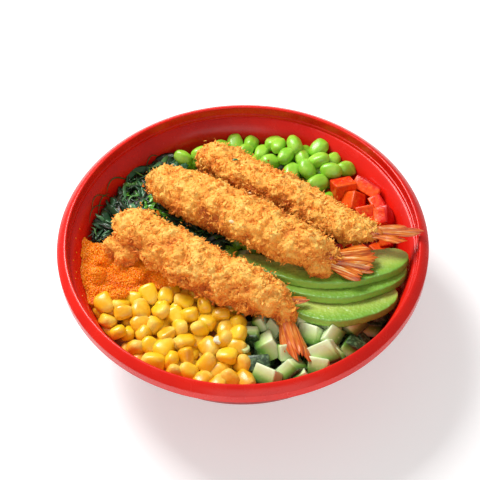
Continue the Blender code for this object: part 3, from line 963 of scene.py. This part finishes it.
def makeLeaves(rng):
    # broader bright leaves and a few wisps that stand against the wall
    low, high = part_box("seaweed_heap")
    copies = []
    while len(copies) < seaweed["leaves"]:
        bright = len(copies) < seaweed["bright"]  # a bunch of bright ones between the shrimps
        start = (rng.gauss(-46, 5) * mm, rng.gauss(28, 5) * mm) if bright else \
            (rng.uniform(low.x, high.x), rng.uniform(low.y, high.y))
        if start[0] + start[1] < -0.02 and rng.random() < 0.8:
            continue
        points, ups = wander(rng, start, rng.uniform(0, 6.3), rng.randint(6, 11), 1.0, 0.16, rng.uniform(0.5, 2.4),
                             1.8 if bright else 0.6)
        if len(points) < 5:
            continue
        copies.append((ribbon(points, ups, rng.uniform(2.0, 3.6) * mm, 0.45 * mm, 0.15), Matrix.Identity(4),
                       {"tint": rng.uniform(0.75, 1.0) if bright else rng.random()}))
    for azimuth, reach in ((130, 4), (139, 6), (147, 7), (154, 5), (161, 4)):  # wisps up the wall
        a = math.radians(azimuth + rng.uniform(-2, 2))
        lean = rng.choice((-1.4, -0.9, 1.1, 1.6))
        points, ups = [], []
        for i in range(9):
            rise = reach * 1.6 * math.sin(math.pi * i / 10)
            radius = 85.4 + 0.306 * rise
            turn = a + lean * i / 60
            points.append(Vector((radius * math.cos(turn), radius * math.sin(turn), 40 + rise)) * mm)
            ups.append(Vector((-math.cos(turn), -math.sin(turn), 0.3)).normalized())
        wisp = ribbon(points, ups, rng.uniform(0.5, 0.8) * mm, 0.3 * mm)
        copies.append((wisp, Matrix.Identity(4), {"tint": 0.1}))
    spot = lookDown(bigTree, -4.7 * mm, 47.3 * mm)[0]  # a shred on the rear shrimp
    shred = [spot + Vector((0.7 * i, 0.16 * i, 1.5 + 0.3 * math.sin(i))) * mm for i in range(6)]
    copies.append((ribbon(shred, [Vector((0, 0, 1))] * 6, 1.7 * mm, 0.5 * mm), Matrix.Identity(4), {"tint": 0.0}))
    leaves = laidOut("seaweedLeaves", copies)
    paint = Paint("seaweedLeaf")
    tint = paint.mark("tint")
    colour = paint.mix(paint.between(tint, 0.1, 0.9), tone(58, 104, 48), seaweed["leaf"])
    colour = paint.flecked(colour, tone(30, 62, 24), 2.4, 0.5, 0.7, 0.6)
    rough, ripple = 0.24 + 0.2 * paint.clouds(2), paint.dents(1, 0.2, 0.5)
    present(leaves, "seaweed", paint.done(colour, rough, ripple, coat=(0.4, 0.15)))


roe = {
    "grains": 23500,
    "grain": (0.4, 0.62),  # radius, mm
    "orange": tone(255, 150, 4),
    "deep": tone(254, 118, 0),
    "light": tone(255, 178, 44),
}


def scatterOn(rng, obj, count, test):
    # random places on a finished surface, as (point, normal)
    obj.data.calc_loop_triangles()
    points = pointsOf(obj)[listOf(obj.data.loop_triangles, "vertices", 3, np.int32)]
    normals = np.cross(points[:, 1] - points[:, 0], points[:, 2] - points[:, 0])
    areas = np.linalg.norm(normals, axis=1)
    normals /= np.maximum(areas, 1e-20)[:, None]
    areas[~test(points.mean(axis=1), normals)] = 0
    dice = np.random.default_rng(rng.randint(0, 10 ** 6))
    picked = dice.choice(len(areas), count, p=areas / areas.sum())
    a, b = dice.random(count), dice.random(count)
    flip = a + b > 1
    a[flip], b[flip] = 1 - a[flip], 1 - b[flip]
    corner = points[picked]
    spots = corner[:, 0] + a[:, None] * (corner[:, 1] - corner[:, 0]) + b[:, None] * (corner[:, 2] - corner[:, 0])
    return [(Vector(p), Vector(n)) for p, n in zip(spots, normals[picked])]


def markHeight(obj, before, normals, name, reach, sky=0.0):
    # how far the surface now stands out from where it was, 0 to 1, and how far it looks up; the paints turn it into
    # painted shade in hollows and, with sky, painted light on what looks up
    height = ((pointsOf(obj) - before) * normals).sum(axis=1) / (reach * mm) + sky * (normals[:, 2] - 0.45)
    setMark(obj.data, name, np.clip(0.5 + height, 0, 1))


def roeGrain():
    # eight faces are enough for a grain of a millimetre
    corners = [(0, 0, 1.15), (1.15, 0, 0), (0, 1.15, 0), (-1.15, 0, 0), (0, -1.15, 0), (0, 0, -1.15)]
    faces = [(0, 1 + i, 1 + (i + 1) % 4) for i in range(4)] + [(5, 1 + (i + 1) % 4, 1 + i) for i in range(4)]
    mesh = bpy.data.meshes.new("grain")
    mesh.from_pydata(corners, [], faces)
    return newPiece("grain", mesh)


def makeRoe():
    rng = random.Random(67)
    core = copyOfSolid("roe_heap", "roeCore")
    evenSkin(core, 1.0)
    smoothOut(core, 6)
    settle(core, 1.0)
    before, normals = pointsOf(core), normalsOf(core)
    relief(core, 10, -8.5, kind="VORONOI", middle=0.34)
    relief(core, 3.4, 3.0)
    relief(core, 1.2, 0.9)
    markHeight(core, before, normals, "high", 6.0)
    bpy.ops.object.select_all(action="DESELECT")
    grain = shapeOf(roeGrain())
    spots = scatterOn(rng, core, roe["grains"], lambda p, n: (n[:, 2] > -0.25) & (p[:, 2] > 0.03))
    copies = []
    for point, normal in spots:
        size = rng.uniform(*roe["grain"]) * mm
        place = point + normal * rng.uniform(-0.1, 0.75) * mm * (1 if rng.random() < 0.85 else 1.8)
        if near(bigTree, place) < size:
            continue
        top = topOf("roe_heap", place.x, place.y)
        # grains that lie deeper below the heap's top get a higher mark, which darkens them: painted shade
        marks = {"sunk": clamped((top[0].z - place.z) / (5.0 * mm)) if top else 0.15}
        lie = Matrix.Translation(place) @ turned(rng) @ sized(size)
        copies.append((grain, lie, {"tint": rng.random(), **marks}))
    for azimuth, height in ((176, 52.5), (181, 50), (186, 53.5), (190, 51), (194, 54), (171, 51), (200, 50.5)):
        a = math.radians(azimuth)  # a few that stuck to the wall
        radius = 91.2 - (55 - height) * 0.306 - 0.7
        place = Vector((radius * math.cos(a), radius * math.sin(a), height)) * mm
        copies.append((grain, Matrix.Translation(place) @ sized(0.5 * mm), {"tint": 0.4, "sunk": 0.3}))
    grains = laidOut("roeGrains", copies)
    paint = Paint("roeGrain")
    tint = paint.mark("tint")
    colour = paint.ramp(tint, (0.0, roe["deep"]), (0.45, roe["orange"]), (0.85, tone(255, 160, 24)),
                        (1.0, roe["light"]))
    colour = paint.flecked(colour, tone(255, 160, 40), 9, 0.4, 0.65, 0.4, detail=2)
    # deeper grains darker: painted shade in the heap's hollows
    colour = paint.mix(paint.between(paint.mark("sunk"), 0.3, 1.1) * 0.65, colour, tone(222, 78, 0))
    pitted = paint.dents(0.5, 0.1, 0.4)
    # a faint orange emission on the grains and the mass: a painted glow
    light = (roe["orange"], 0.06)
    glow = (0.2, 0.0015, (1.0, 0.4, 0.1))
    present(grains, "roe", paint.done(colour, 0.25 + 0.1 * tint, pitted, glow=glow, light=light))
    paint = Paint("roeMass")
    high = paint.mark("high")
    beads = paint.cells(1.05)
    # lower parts of the mass darker: painted shade in its hollows
    colour = paint.mix(paint.between(high, 0.2, 0.7), tone(226, 90, 0), roe["orange"])
    # darker towards each bead's edge: painted shade between the beads
    colour = paint.mix(paint.between(beads, 0.35, 0.7) * 0.5, colour, tone(236, 100, 2))
    beaded = paint.bump(1.0 - beads, 0.7, 0.9)
    present(core, "roe", paint.done(colour, 0.5 + 0.2 * beads, beaded, light=light), ["roe_heap"])


avocado = {
    "slices": [  # where the round end lies and the length, mm, then the heading in degrees
        {"node": "avocado_slice_1", "end": (80, -34), "length": 72, "heading": -10, "level": 0},
        {"node": "avocado_slice_2", "end": (86, -19), "length": 82, "heading": -5, "level": 1},
        {"node": "avocado_slice_3", "end": (87, -14), "length": 93, "heading": -7.5, "level": 2},
    ],
    "thick": 4.5,
    "pale": tone(194, 202, 106),
    "middle": tone(162, 190, 78),
    "green": tone(126, 172, 54),
    "rind": tone(110, 162, 54),
}


def avocadoPlane(entry):
    plane = Matrix.Rotation(math.radians(-4), 4, "Y") @ Matrix.Rotation(math.radians(-12), 4, "X")
    up = plane.to_3x3() @ Vector((0, 0, 1))
    x, y = (value * mm for value in entry["end"])
    stack = 34.5 * mm * up.z + entry["level"] * 4.8 * mm
    end = Vector((x, y, (stack - up.x * x - up.y * y) / up.z))
    turn = Matrix.Rotation(math.radians(entry["heading"]), 4, "Z")
    return Matrix.Translation(end) @ plane @ turn @ Matrix.Translation((-entry["length"] * mm, 0, 0))


def avocadoDepth(t):
    # the curved outer edge and the inner edge past the stone's hollow, mm
    t = min(max(t, 0.001), 0.999)
    if t > 0.82:  # a round heel
        outer, inner = avocadoDepth(0.82)
        heel = (t - 0.82) / 0.18
        middle, half = (outer + inner) / 2 * (1 - heel), (inner - outer) / 2 * math.sqrt(1 - heel * heel)
        return middle - half, middle + half
    outer = -22.5 * math.sin(math.pi * t ** 1.15) ** 0.62
    inner = (6 * math.sin(math.pi * t ** 2.4) ** 0.9 - 9 * math.exp(-(((t - 0.45) / 0.2) ** 2))) * min(1.0, 4 * t)
    return outer, inner


def wedgeShape(entry, name):
    # the crescent outline, pulled up to its thickness and laid on its plane
    ends = [max(0.03, 0.5 - 0.5 * math.cos(math.pi * i / 36)) for i in range(37)]
    line = [(t, avocadoDepth(t)[0]) for t in ends[:-1]] + [(t, avocadoDepth(t)[1]) for t in reversed(ends)]
    thick = avocado["thick"] * mm
    mesh = bpy.data.meshes.new(name)
    mesh.from_pydata([(t * entry["length"] * mm, y * mm, -thick / 2) for t, y in line], [], [range(len(line))])
    wedge = newPiece(name, mesh)
    intoEdit(wedge)
    bpy.ops.mesh.extrude_region_move(TRANSFORM_OT_translate={"value": (0, 0, thick)})
    outOfEdit()
    facesOut(wedge)
    mesh.transform(avocadoPlane(entry))
    return wedge


def makeAvocado():
    paint = Paint("avocadoFlesh")
    depth = paint.mark("flesh")
    side = paint.mark("side")
    cloud = paint.clouds(6, detail=3)
    strands = paint.clouds(1.6, detail=3, rough=0.6, vector=paint.stretched(0.28, 1, 1))
    level = depth + 0.16 * (cloud - 0.5) + 0.06 * (strands - 0.5)
    colour = paint.ramp(level, (0.0, avocado["rind"]), (0.14, avocado["green"]), (0.4, avocado["middle"]),
                        (0.74, avocado["pale"]), (0.97, tone(172, 192, 90)))
    sideTone = paint.mix(paint.mark("heel"), tone(170, 216, 96), tone(108, 174, 60))
    colour = paint.mix(side * 0.7, colour, sideTone)
    colour = paint.mix(paint.between(strands, 0.58, 0.75) * 0.25, colour, tone(160, 168, 70))
    colour = paint.flecked(colour, tone(136, 140, 60), 2.2, 0.66, 0.78, 0.25, detail=4)
    rough = 0.3 + 0.22 * cloud
    cuts = paint.bump(strands, 0.25, 0.35, under=paint.bump(cloud, 1.1, 0.35))
    skin = paint.bump(paint.cells(1.7), 0.5, 0.5, under=cuts)
    flesh = paint.done(colour, rough, skin, glow=(0.15, 0.002, (0.8, 1.0, 0.3)), coat=(0.12, 0.2))
    for index, entry in enumerate(avocado["slices"]):
        wedge = wedgeShape(entry, f"avocadoWedge{index + 1}")
        evenSkin(wedge, 0.7)
        smoothOut(wedge, 5)
        relief(wedge, 9, 0.7)
        relief(wedge, 2.5, 0.4)
        back, length = avocadoPlane(entry).inverted(), entry["length"] * mm
        marks, sides, heels = [], [], []
        for point, normal in zip(wedge.data.vertices, normalsOf(wedge)):
            place = back @ point.co
            outer, inner = avocadoDepth(place.x / length)
            span = max((inner - outer) * mm, 2 * mm)
            marks.append(clamped((place.y - outer * mm) / span))
            facing = back.to_3x3() @ Vector(normal)
            heels.append(clamped((place.x / length - 0.55) / 0.35))
            outward = marks[-1] < 0.5 or place.x > 0.86 * length
            sides.append(clamped(1.15 - 1.6 * abs(facing.z)) if outward else 0.0)
        for name, values in (("flesh", marks), ("side", sides), ("heel", heels)):
            setMark(wedge.data, name, values)
        present(wedge, "avocado", flesh, [entry["node"]])


shrimps = {
    "bodies": [  # x, y, z and radius in mm along each body
        [(-69, 8, 55, 3), (-65, 8.5, 55, 9.5), (-56, 7, 55, 13.2), (-40, -4, 55, 12.8), (-18, -20, 54.5, 13.8),
         (3, -30.5, 53.5, 12.8), (14, -36.5, 52, 10.5), (20, -42.5, 49, 7.2), (23, -49, 46.5, 4.5)],
        [(-51, 37, 55.5, 3), (-47.5, 38.5, 55.5, 9), (-40, 37.5, 56.5, 12.4), (-22, 26, 58.5, 13.8),
         (-2, 12, 60.5, 13.2), (18, -2, 63, 13), (32, -11, 63.5, 11), (42, -16.5, 63.5, 8), (49, -18.5, 63, 5)],
        [(-24, 62, 54, 3), (-20, 61, 54, 8), (-13, 57.5, 54.5, 10.6), (8, 41, 56, 11.4), (26, 28.5, 57, 11),
         (43, 14.5, 58.8, 10.2), (56, 4, 60.5, 9), (66, -1.5, 62.5, 6.5), (71, -3, 63.4, 3.5)],
    ],
    "lumps": [  # thicker crumb at the ends: x, y, z and radius in mm
        [(-68.5, 2.5, 49.5, 6.5), (-62, -3, 48.0, 6.5)], [(40, -21, 57.5, 6.0)], [(-19, 57, 50.5, 5.5)],
    ],
    "tails": [  # start, end, width and thickness of each blade, mm
        [((20, -43, 49.5), (26.5, -66, 45), 9.5, 2.2), ((21, -43, 49), (32, -69, 44), 6, 1.3),
         ((19, -43, 48.5), (20.5, -62, 44.8), 5.5, 1.2), ((17, -37, 51.5), (32, -36.5, 51), 4.5, 1.4)],
        [((46, -17, 62.5), (67, -13, 60.5), 8, 1.6), ((46, -19, 62.6), (68, -18, 60), 7.5, 1.5),
         ((45, -20, 61.5), (66, -23, 59.5), 7, 1.4), ((44, -21, 60.8), (60, -29, 59.4), 7.5, 1.4)],
        [((66, -2, 63.8), (93.0, -5.8, 65.6), 5.6, 1.6), ((66, -4, 62.8), (84, -9.5, 64), 5.6, 1.4),
         ((67, -1.5, 64.4), (84, -3.2, 65.6), 4.5, 1.3)],
    ],
    "knuckles": [  # the bare last ring of shell: place, way it points, length and width, mm
        ((20.5, -44.5, 48.5), (4, -14, -4), 12, 10.5), ((46, -17.5, 62.5), (14, -1, -2), 11, 10),
        ((69.5, -2.6, 63.3), (12, -2.4, 1), 11, 7.6),
    ],
    "crumbs": 5000,
    "clumps": 260,
    "golden": tone(255, 180, 68),
    "light": tone(255, 206, 104),
    "brown": tone(198, 102, 28),
}


def smoothPath(points, steps):
    # a soft curve through points that carry a radius too
    points = [np.array(p, float) for p in points]
    points = [2 * points[0] - points[1]] + points + [2 * points[-1] - points[-2]]
    out = []
    for i in range(1, len(points) - 2):
        a, b, c, d = points[i - 1:i + 3]
        for k in range(steps):
            t = k / steps
            bend, twist = 2 * a - 5 * b + 4 * c - d, 3 * b - a - 3 * c + d
            out.append(0.5 * (2 * b + (c - a) * t + bend * t * t + twist * t ** 3))
    return out + [points[-2]]


def shrimpBody(name, spine, lumps):
    line = bpy.data.curves.new(name, "CURVE")
    line.dimensions = "3D"
    line.bevel_depth = 1.0 * mm
    line.bevel_resolution = 8
    line.use_fill_caps = True
    path = smoothPath(spine, 5)
    strip = line.splines.new("POLY")
    strip.points.add(len(path) - 1)
    for point, (x, y, z, radius) in zip(strip.points, path):
        point.co = (x * mm, y * mm, z * mm, 1)
        point.radius = max(radius - 0.9, 1.5)
    body = newPiece(name, line)
    onlySelect(body)
    bpy.ops.object.convert(target="MESH")
    body = bpy.context.active_object
    for x, y, z, radius in lumps:
        bpy.ops.mesh.primitive_uv_sphere_add(radius=radius * mm, location=(x * mm, y * mm, z * mm))
        body.select_set(True)
        bpy.context.view_layer.objects.active = body
        bpy.ops.object.join()
    facesOut(body)
    evenSkin(body, 0.62)
    smoothOut(body, 12)
    return body


def crumbShape(rng, seed):
    crumb = started(bpy.ops.mesh.primitive_ico_sphere_add, subdivisions=1, radius=1)
    intoEdit(crumb)
    bpy.ops.transform.vertex_random(offset=0.75, uniform=0.8, seed=seed)
    bpy.ops.transform.resize(value=(1.45, rng.uniform(0.4, 0.7), rng.uniform(0.3, 0.45)))
    outOfEdit()
    return shapeOf(crumb)


def crustPaint(name, markName, depth):
    paint = Paint(name)
    mark = paint.mark(markName)
    patch = paint.clouds(12, detail=2)
    fine = paint.clouds(1.3, detail=4, rough=0.7)
    # the mark lightens crust that stands out or looks up and browns what sinks or looks down: painted light and
    # painted shade, with random patches over it
    level = mark + 0.7 * (fine - 0.5) + 1.1 * (patch - 0.5)
    colour = paint.ramp(level, (0.05, shrimps["brown"]), (0.34, tone(238, 144, 44)), (0.58, shrimps["golden"]),
                        (1.0, shrimps["light"]))
    colour = paint.flecked(colour, tone(222, 134, 50), 5, 0.6, 0.74, 0.35)
    rough = 0.5 + 0.3 * fine
    under = paint.bump(paint.cells(1.9), depth, 0.5)
    crisp = paint.bump(paint.clouds(0.8, detail=4, rough=0.7), depth, 0.7, under=under)
    return paint.done(colour, rough, crisp, glow=(0.1, 0.001))


def shellMarked(obj, length, width, start):
    return shapeOf(obj, {
        "along": lambda p: clamped(start + p[0] / (length * mm)),
        "across": lambda p: 0.5 + p[1] / (width * mm),
    })


def bladeShape(length, width, thick):
    # a ribbed leaf of shell along +X, hollow underneath
    blade = started(bpy.ops.mesh.primitive_grid_add, x_subdivisions=18, y_subdivisions=12, size=1)
    for point in blade.data.vertices:
        t = point.co.x + 0.5
        across = point.co.y * 2
        wide = 0.5 + 0.62 * math.sin(math.pi * min(1.0, t * 1.15) * 0.6) ** 1.3
        wide *= math.sqrt(max(0.0, 1 - max(0.0, (t - 0.66) / 0.35) ** 3)) * 0.9 + 0.1
        ragged = 0.3 * noise.noise(Vector((across * 4.3, length * 300, width))) * t * t
        rib = 0.16 * math.cos(across * 9.5) * math.sin(math.pi * min(1.0, t * 1.05))
        keel = 0.5 * math.exp(-(across / 0.16) ** 2)
        arch = 1.9 * (1 - across * across) - 0.6
        crease = 1.3 * noise.noise(Vector((across * 1.9 + length, t * 3.2, width)))
        lift = arch + rib + keel * (1 - 0.5 * t) + crease * t
        sway = 0.22 * noise.noise(Vector((t * 3, length * 7, width))) * t
        point.co = ((t + ragged) * length * mm, (across * wide + sway) * width / 2 * mm, lift * thick * mm * 0.5)
    worked(blade, "SOLIDIFY", thickness=0.55 * mm, offset=-1)
    facesOut(blade, merge=0.02)
    rounded(blade)
    return shellMarked(blade, length, width, 0)


def knuckleShape(length, width):
    # the tapering last ring, with a keel along its back
    ring = started(bpy.ops.mesh.primitive_uv_sphere_add, segments=28, ring_count=16, radius=0.5)
    laidOver(ring)
    for point in ring.data.vertices:
        t = point.co.x + 0.5
        taper = 1.12 - 0.5 * t
        angle = math.atan2(point.co.y, point.co.z)
        ridge = 1 + 0.035 * math.cos(7 * angle) + 0.05 * math.exp(-(angle / 0.25) ** 2)
        step = 1 + 0.04 * math.sin(t * 19)
        point.co = (point.co.x * length * mm, point.co.y * width * taper * ridge * step * mm,
                    point.co.z * width * 0.85 * taper * ridge * step * mm)
    return shellMarked(ring, length, width, 0.5)


def pointing(start, end, roll=0.0):
    start, end = Vector(start) * mm, Vector(end) * mm
    along = (end - start).normalized()
    side = Vector((0, 0, 1)).cross(along).normalized()
    rise = along.cross(side)
    turn = Matrix((along, side, rise)).transposed().to_4x4()
    return Matrix.Translation(start) @ turn @ Matrix.Rotation(roll, 4, "X")


def makeTails():
    copies = []
    for index, blades in enumerate(shrimps["tails"]):
        for k, (start, end, width, thick) in enumerate(blades):
            length = (Vector(end) - Vector(start)).length
            shape = bladeShape(length, width, thick)
            roll = (0.12, -0.3, 0.35, 0.1)[k]
            copies.append((shape, pointing(start, end, roll), {"tint": (index * 0.37 + k * 0.29) % 1}))
    for index, (place, way, length, width) in enumerate(shrimps["knuckles"]):
        shape = knuckleShape(length, width)
        end = [a + b for a, b in zip(place, way)]
        copies.append((shape, pointing(place, end), {"tint": 0.3 * index}))
    tails = laidOut("shrimpTails", copies)
    paint = Paint("shrimpShell")
    along = paint.mark("along")
    across = paint.mark("across")
    tint = paint.mark("tint")
    veins = paint.add("ShaderNodeCombineXYZ", {}, {"X": across * 9.0, "Y": along * 1.4, "Z": tint * 5.0})
    streak = paint.add("ShaderNodeTexNoise", {}, {"Vector": veins, "Scale": 1.0, "Detail": 3.0, "Distortion": 0.4})
    # streaks along the shell; the palest, near-white stop stands for shine: painted highlight
    colour = paint.ramp(streak, (0.34, tone(156, 50, 4)), (0.48, tone(214, 100, 16)), (0.6, tone(232, 148, 50)),
                        (0.7, tone(255, 226, 176)))
    colour = paint.mix(paint.between(along, 0.75, 1.0) * 0.5, colour, tone(214, 92, 16))
    colour = paint.flecked(colour, tone(196, 96, 20), 4, 0.5, 0.72, 0.5)
    ribs = paint.bump(streak, 0.5, 0.6, under=paint.dents(1.2, 0.2, 0.5))
    present(tails, "crust", paint.done(colour, 0.22 + 0.2 * streak, ribs, glow=(0.15, 0.002), coat=(0.4, 0.15)))


def makeShrimps():
    rng = random.Random(79)
    body = crustPaint("crustBody", "high", 0.9)
    crisp = crustPaint("crustCrumb", "tint", 0.12)
    shapes = [crumbShape(rng, seed) for seed in range(3, 10)]
    for index, spine in enumerate(shrimps["bodies"]):
        crust = shrimpBody(f"shrimpCrust{index + 1}", spine, shrimps["lumps"][index])
        before, normals = pointsOf(crust), normalsOf(crust)
        for size, strength in ((15, 4.6), (6, 4.6), (2.2, 1.9)):  # swellings, lumps and grit
            relief(crust, size, strength)
        # crust that stands out or faces up is marked lighter, hollows darker: painted light and painted shade
        markHeight(crust, before, normals, "high", 5.0, 0.34)
        spots = scatterOn(rng, crust, shrimps["crumbs"], lambda p, n: n[:, 2] > -0.6)
        for point, normal in scatterOn(rng, crust, shrimps["clumps"], lambda p, n: n[:, 2] > -0.5):
            for flake in range(rng.randint(3, 7)):
                stray = Vector([rng.gauss(0, 0.9) for axis in range(3)]) * mm
                spots.append((point + stray + normal * rng.uniform(0.1, 1.1) * mm, normal))
        copies = []
        for point, normal in spots:
            size = (0.3 + 0.62 * rng.random() ** 2.4 + (0.8 if rng.random() < 0.05 else 0)) * mm
            place = point + normal * rng.uniform(-0.3, 0.5) * size
            # crumbs that face up get a lighter tint: painted light, over a random tint
            copies.append((rng.choice(shapes), Matrix.Translation(place) @ turned(rng, normal, 100) @ sized(size),
                           {"tint": clamped(rng.gauss(0.6, 0.13) + 0.32 * (normal.z - 0.45))}))
        present(crust, "crust", body, [f"shrimp_{index + 1}"])
        present(laidOut(f"crustCrumbs{index + 1}", copies), "crust", crisp, smooth=False)
    makeTails()


seeds = {
    "spots": [  # x, y in mm
        (-5, 2), (4, 21), (-62, 35), (-57, 31), (-66, 52), (-58, 44), (-70, 33),
        (-46, 60), (12, -58), (52, -58),
    ],
    "low": [(-2, 6), (-0.8, 3), (7.9, -1), (3, 2.5), (-5, 8)],  # on the tip of the avocado, below the shrimps
    "size": (3.1, 1.9, 1.0),
}


def makeSeeds():
    rng = random.Random(97)
    everything = treeOf(*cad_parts)
    seed = started(bpy.ops.mesh.primitive_uv_sphere_add, segments=14, ring_count=9, radius=0.5)
    laidOver(seed)
    intoEdit(seed)
    pickPoints(seed, lambda p: p.x > 0.1)
    bpy.ops.transform.resize(value=(1.15, 0.72, 0.8))
    pickPoints(seed, lambda p: p.x > 0.4)
    bpy.ops.transform.resize(value=(1.1, 0.5, 0.6))
    scaled(seed, *(v * mm for v in seeds["size"]))
    shape = shapeOf(seed)
    copies = []
    tips = treeOf(*slices, "seaweed_heap")
    for x, y, tree in [(*spot, everything) for spot in seeds["spots"]] + [(*spot, tips) for spot in seeds["low"]]:
        point, normal = lookDown(tree, x * mm, y * mm)
        if point is None:
            print("no place for seed", x, y)
            continue
        lift = 1.3 if near(bigTree, point) < 0.2 * mm else 1.6
        copies.append((shape, Matrix.Translation(point + normal * lift * mm) @ turned(rng, normal, 15),
                       {"tint": rng.random()}))
    scattered = laidOut("sesameSeeds", copies)
    paint = Paint("sesameHull")
    colour = paint.flecked(tone(246, 226, 176), tone(220, 184, 116), 1.2, 0.4, 0.7)
    pitted = paint.dents(0.5, 0.1, 0.5)
    present(scattered, "crust", paint.done(colour, 0.38 + 0.1 * paint.mark("tint"), pitted))


studio = {
    "floor": tone(234, 234, 234),
    "floorLight": 0.36,
    "sky": 0.34,
    "lights": {  # place, size and power
        "keyLight": ((-0.42, 0.46, 0.78), 0.42, 12.0),
        "fillLight": ((0.15, -1.0, 0.5), 0.9, 4.2),
    },
    "lit": (0, 0, 0.04),  # where the lights point
    "aim": (-1.35, -5.1, 62.0),
    "height": 51.5,  # degrees above the floor
    "distance": 600.0,
    "roll": -1.32,
    "lens": 85.9,
}


def makeStudio():
    ground = started(bpy.ops.mesh.primitive_plane_add, size=6)
    ground.name = "studioFloor"
    paint = Paint("studioPaper")
    grain = paint.clouds(60)
    paper = paint.mix(grain, studio["floor"], tone(230, 230, 230))
    ground.data.materials.append(paint.done(paper, 0.8 + 0.1 * grain, light=((1, 1, 1, 1), studio["floorLight"])))
    world = bpy.data.worlds.new("studioAir")
    bpy.context.scene.world = world
    world.use_nodes = True
    air = world.node_tree.nodes["Background"].inputs
    air["Color"].default_value = (1.0, 0.99, 0.97, 1)
    air["Strength"].default_value = studio["sky"]
    for name, (place, size, power) in studio["lights"].items():
        lamp = bpy.data.lights.new(name, "AREA")
        lamp.shape, lamp.size, lamp.energy = "SQUARE", size, power
        holder = newPiece(name, lamp)
        holder.location = place
        holder.rotation_euler = (Vector(studio["lit"]) - Vector(place)).to_track_quat("-Z", "Y").to_euler()
    lens = bpy.data.cameras.new("studioCamera")
    lens.sensor_width = 36
    lens.lens = studio["lens"]
    lens.clip_start = 0.01
    height, roll = math.radians(studio["height"]), math.radians(studio["roll"])
    away = Vector((0, -math.cos(height), math.sin(height)))
    right, rise = Vector((1, 0, 0)), Vector((0, math.sin(height), math.cos(height)))
    across = right * math.cos(roll) + rise * math.sin(roll)
    upward = rise * math.cos(roll) - right * math.sin(roll)
    holder = newPiece("studioCamera", lens)
    turn = Matrix((across, upward, away)).transposed().to_4x4()
    holder.matrix_world = Matrix.Translation(Vector(studio["aim"]) * mm + away * studio["distance"] * mm) @ turn
    bpy.context.scene.camera = holder
    bpy.context.scene.view_settings.view_transform = "Standard"


for make in (makeBowl, makeCorn, makeCucumber, makeTomato, makeEdamame, makeSeaweed, makeRoe, makeAvocado,
             makeShrimps, makeSeeds, makeStudio):
    make()

bpy.context.view_layer.update()
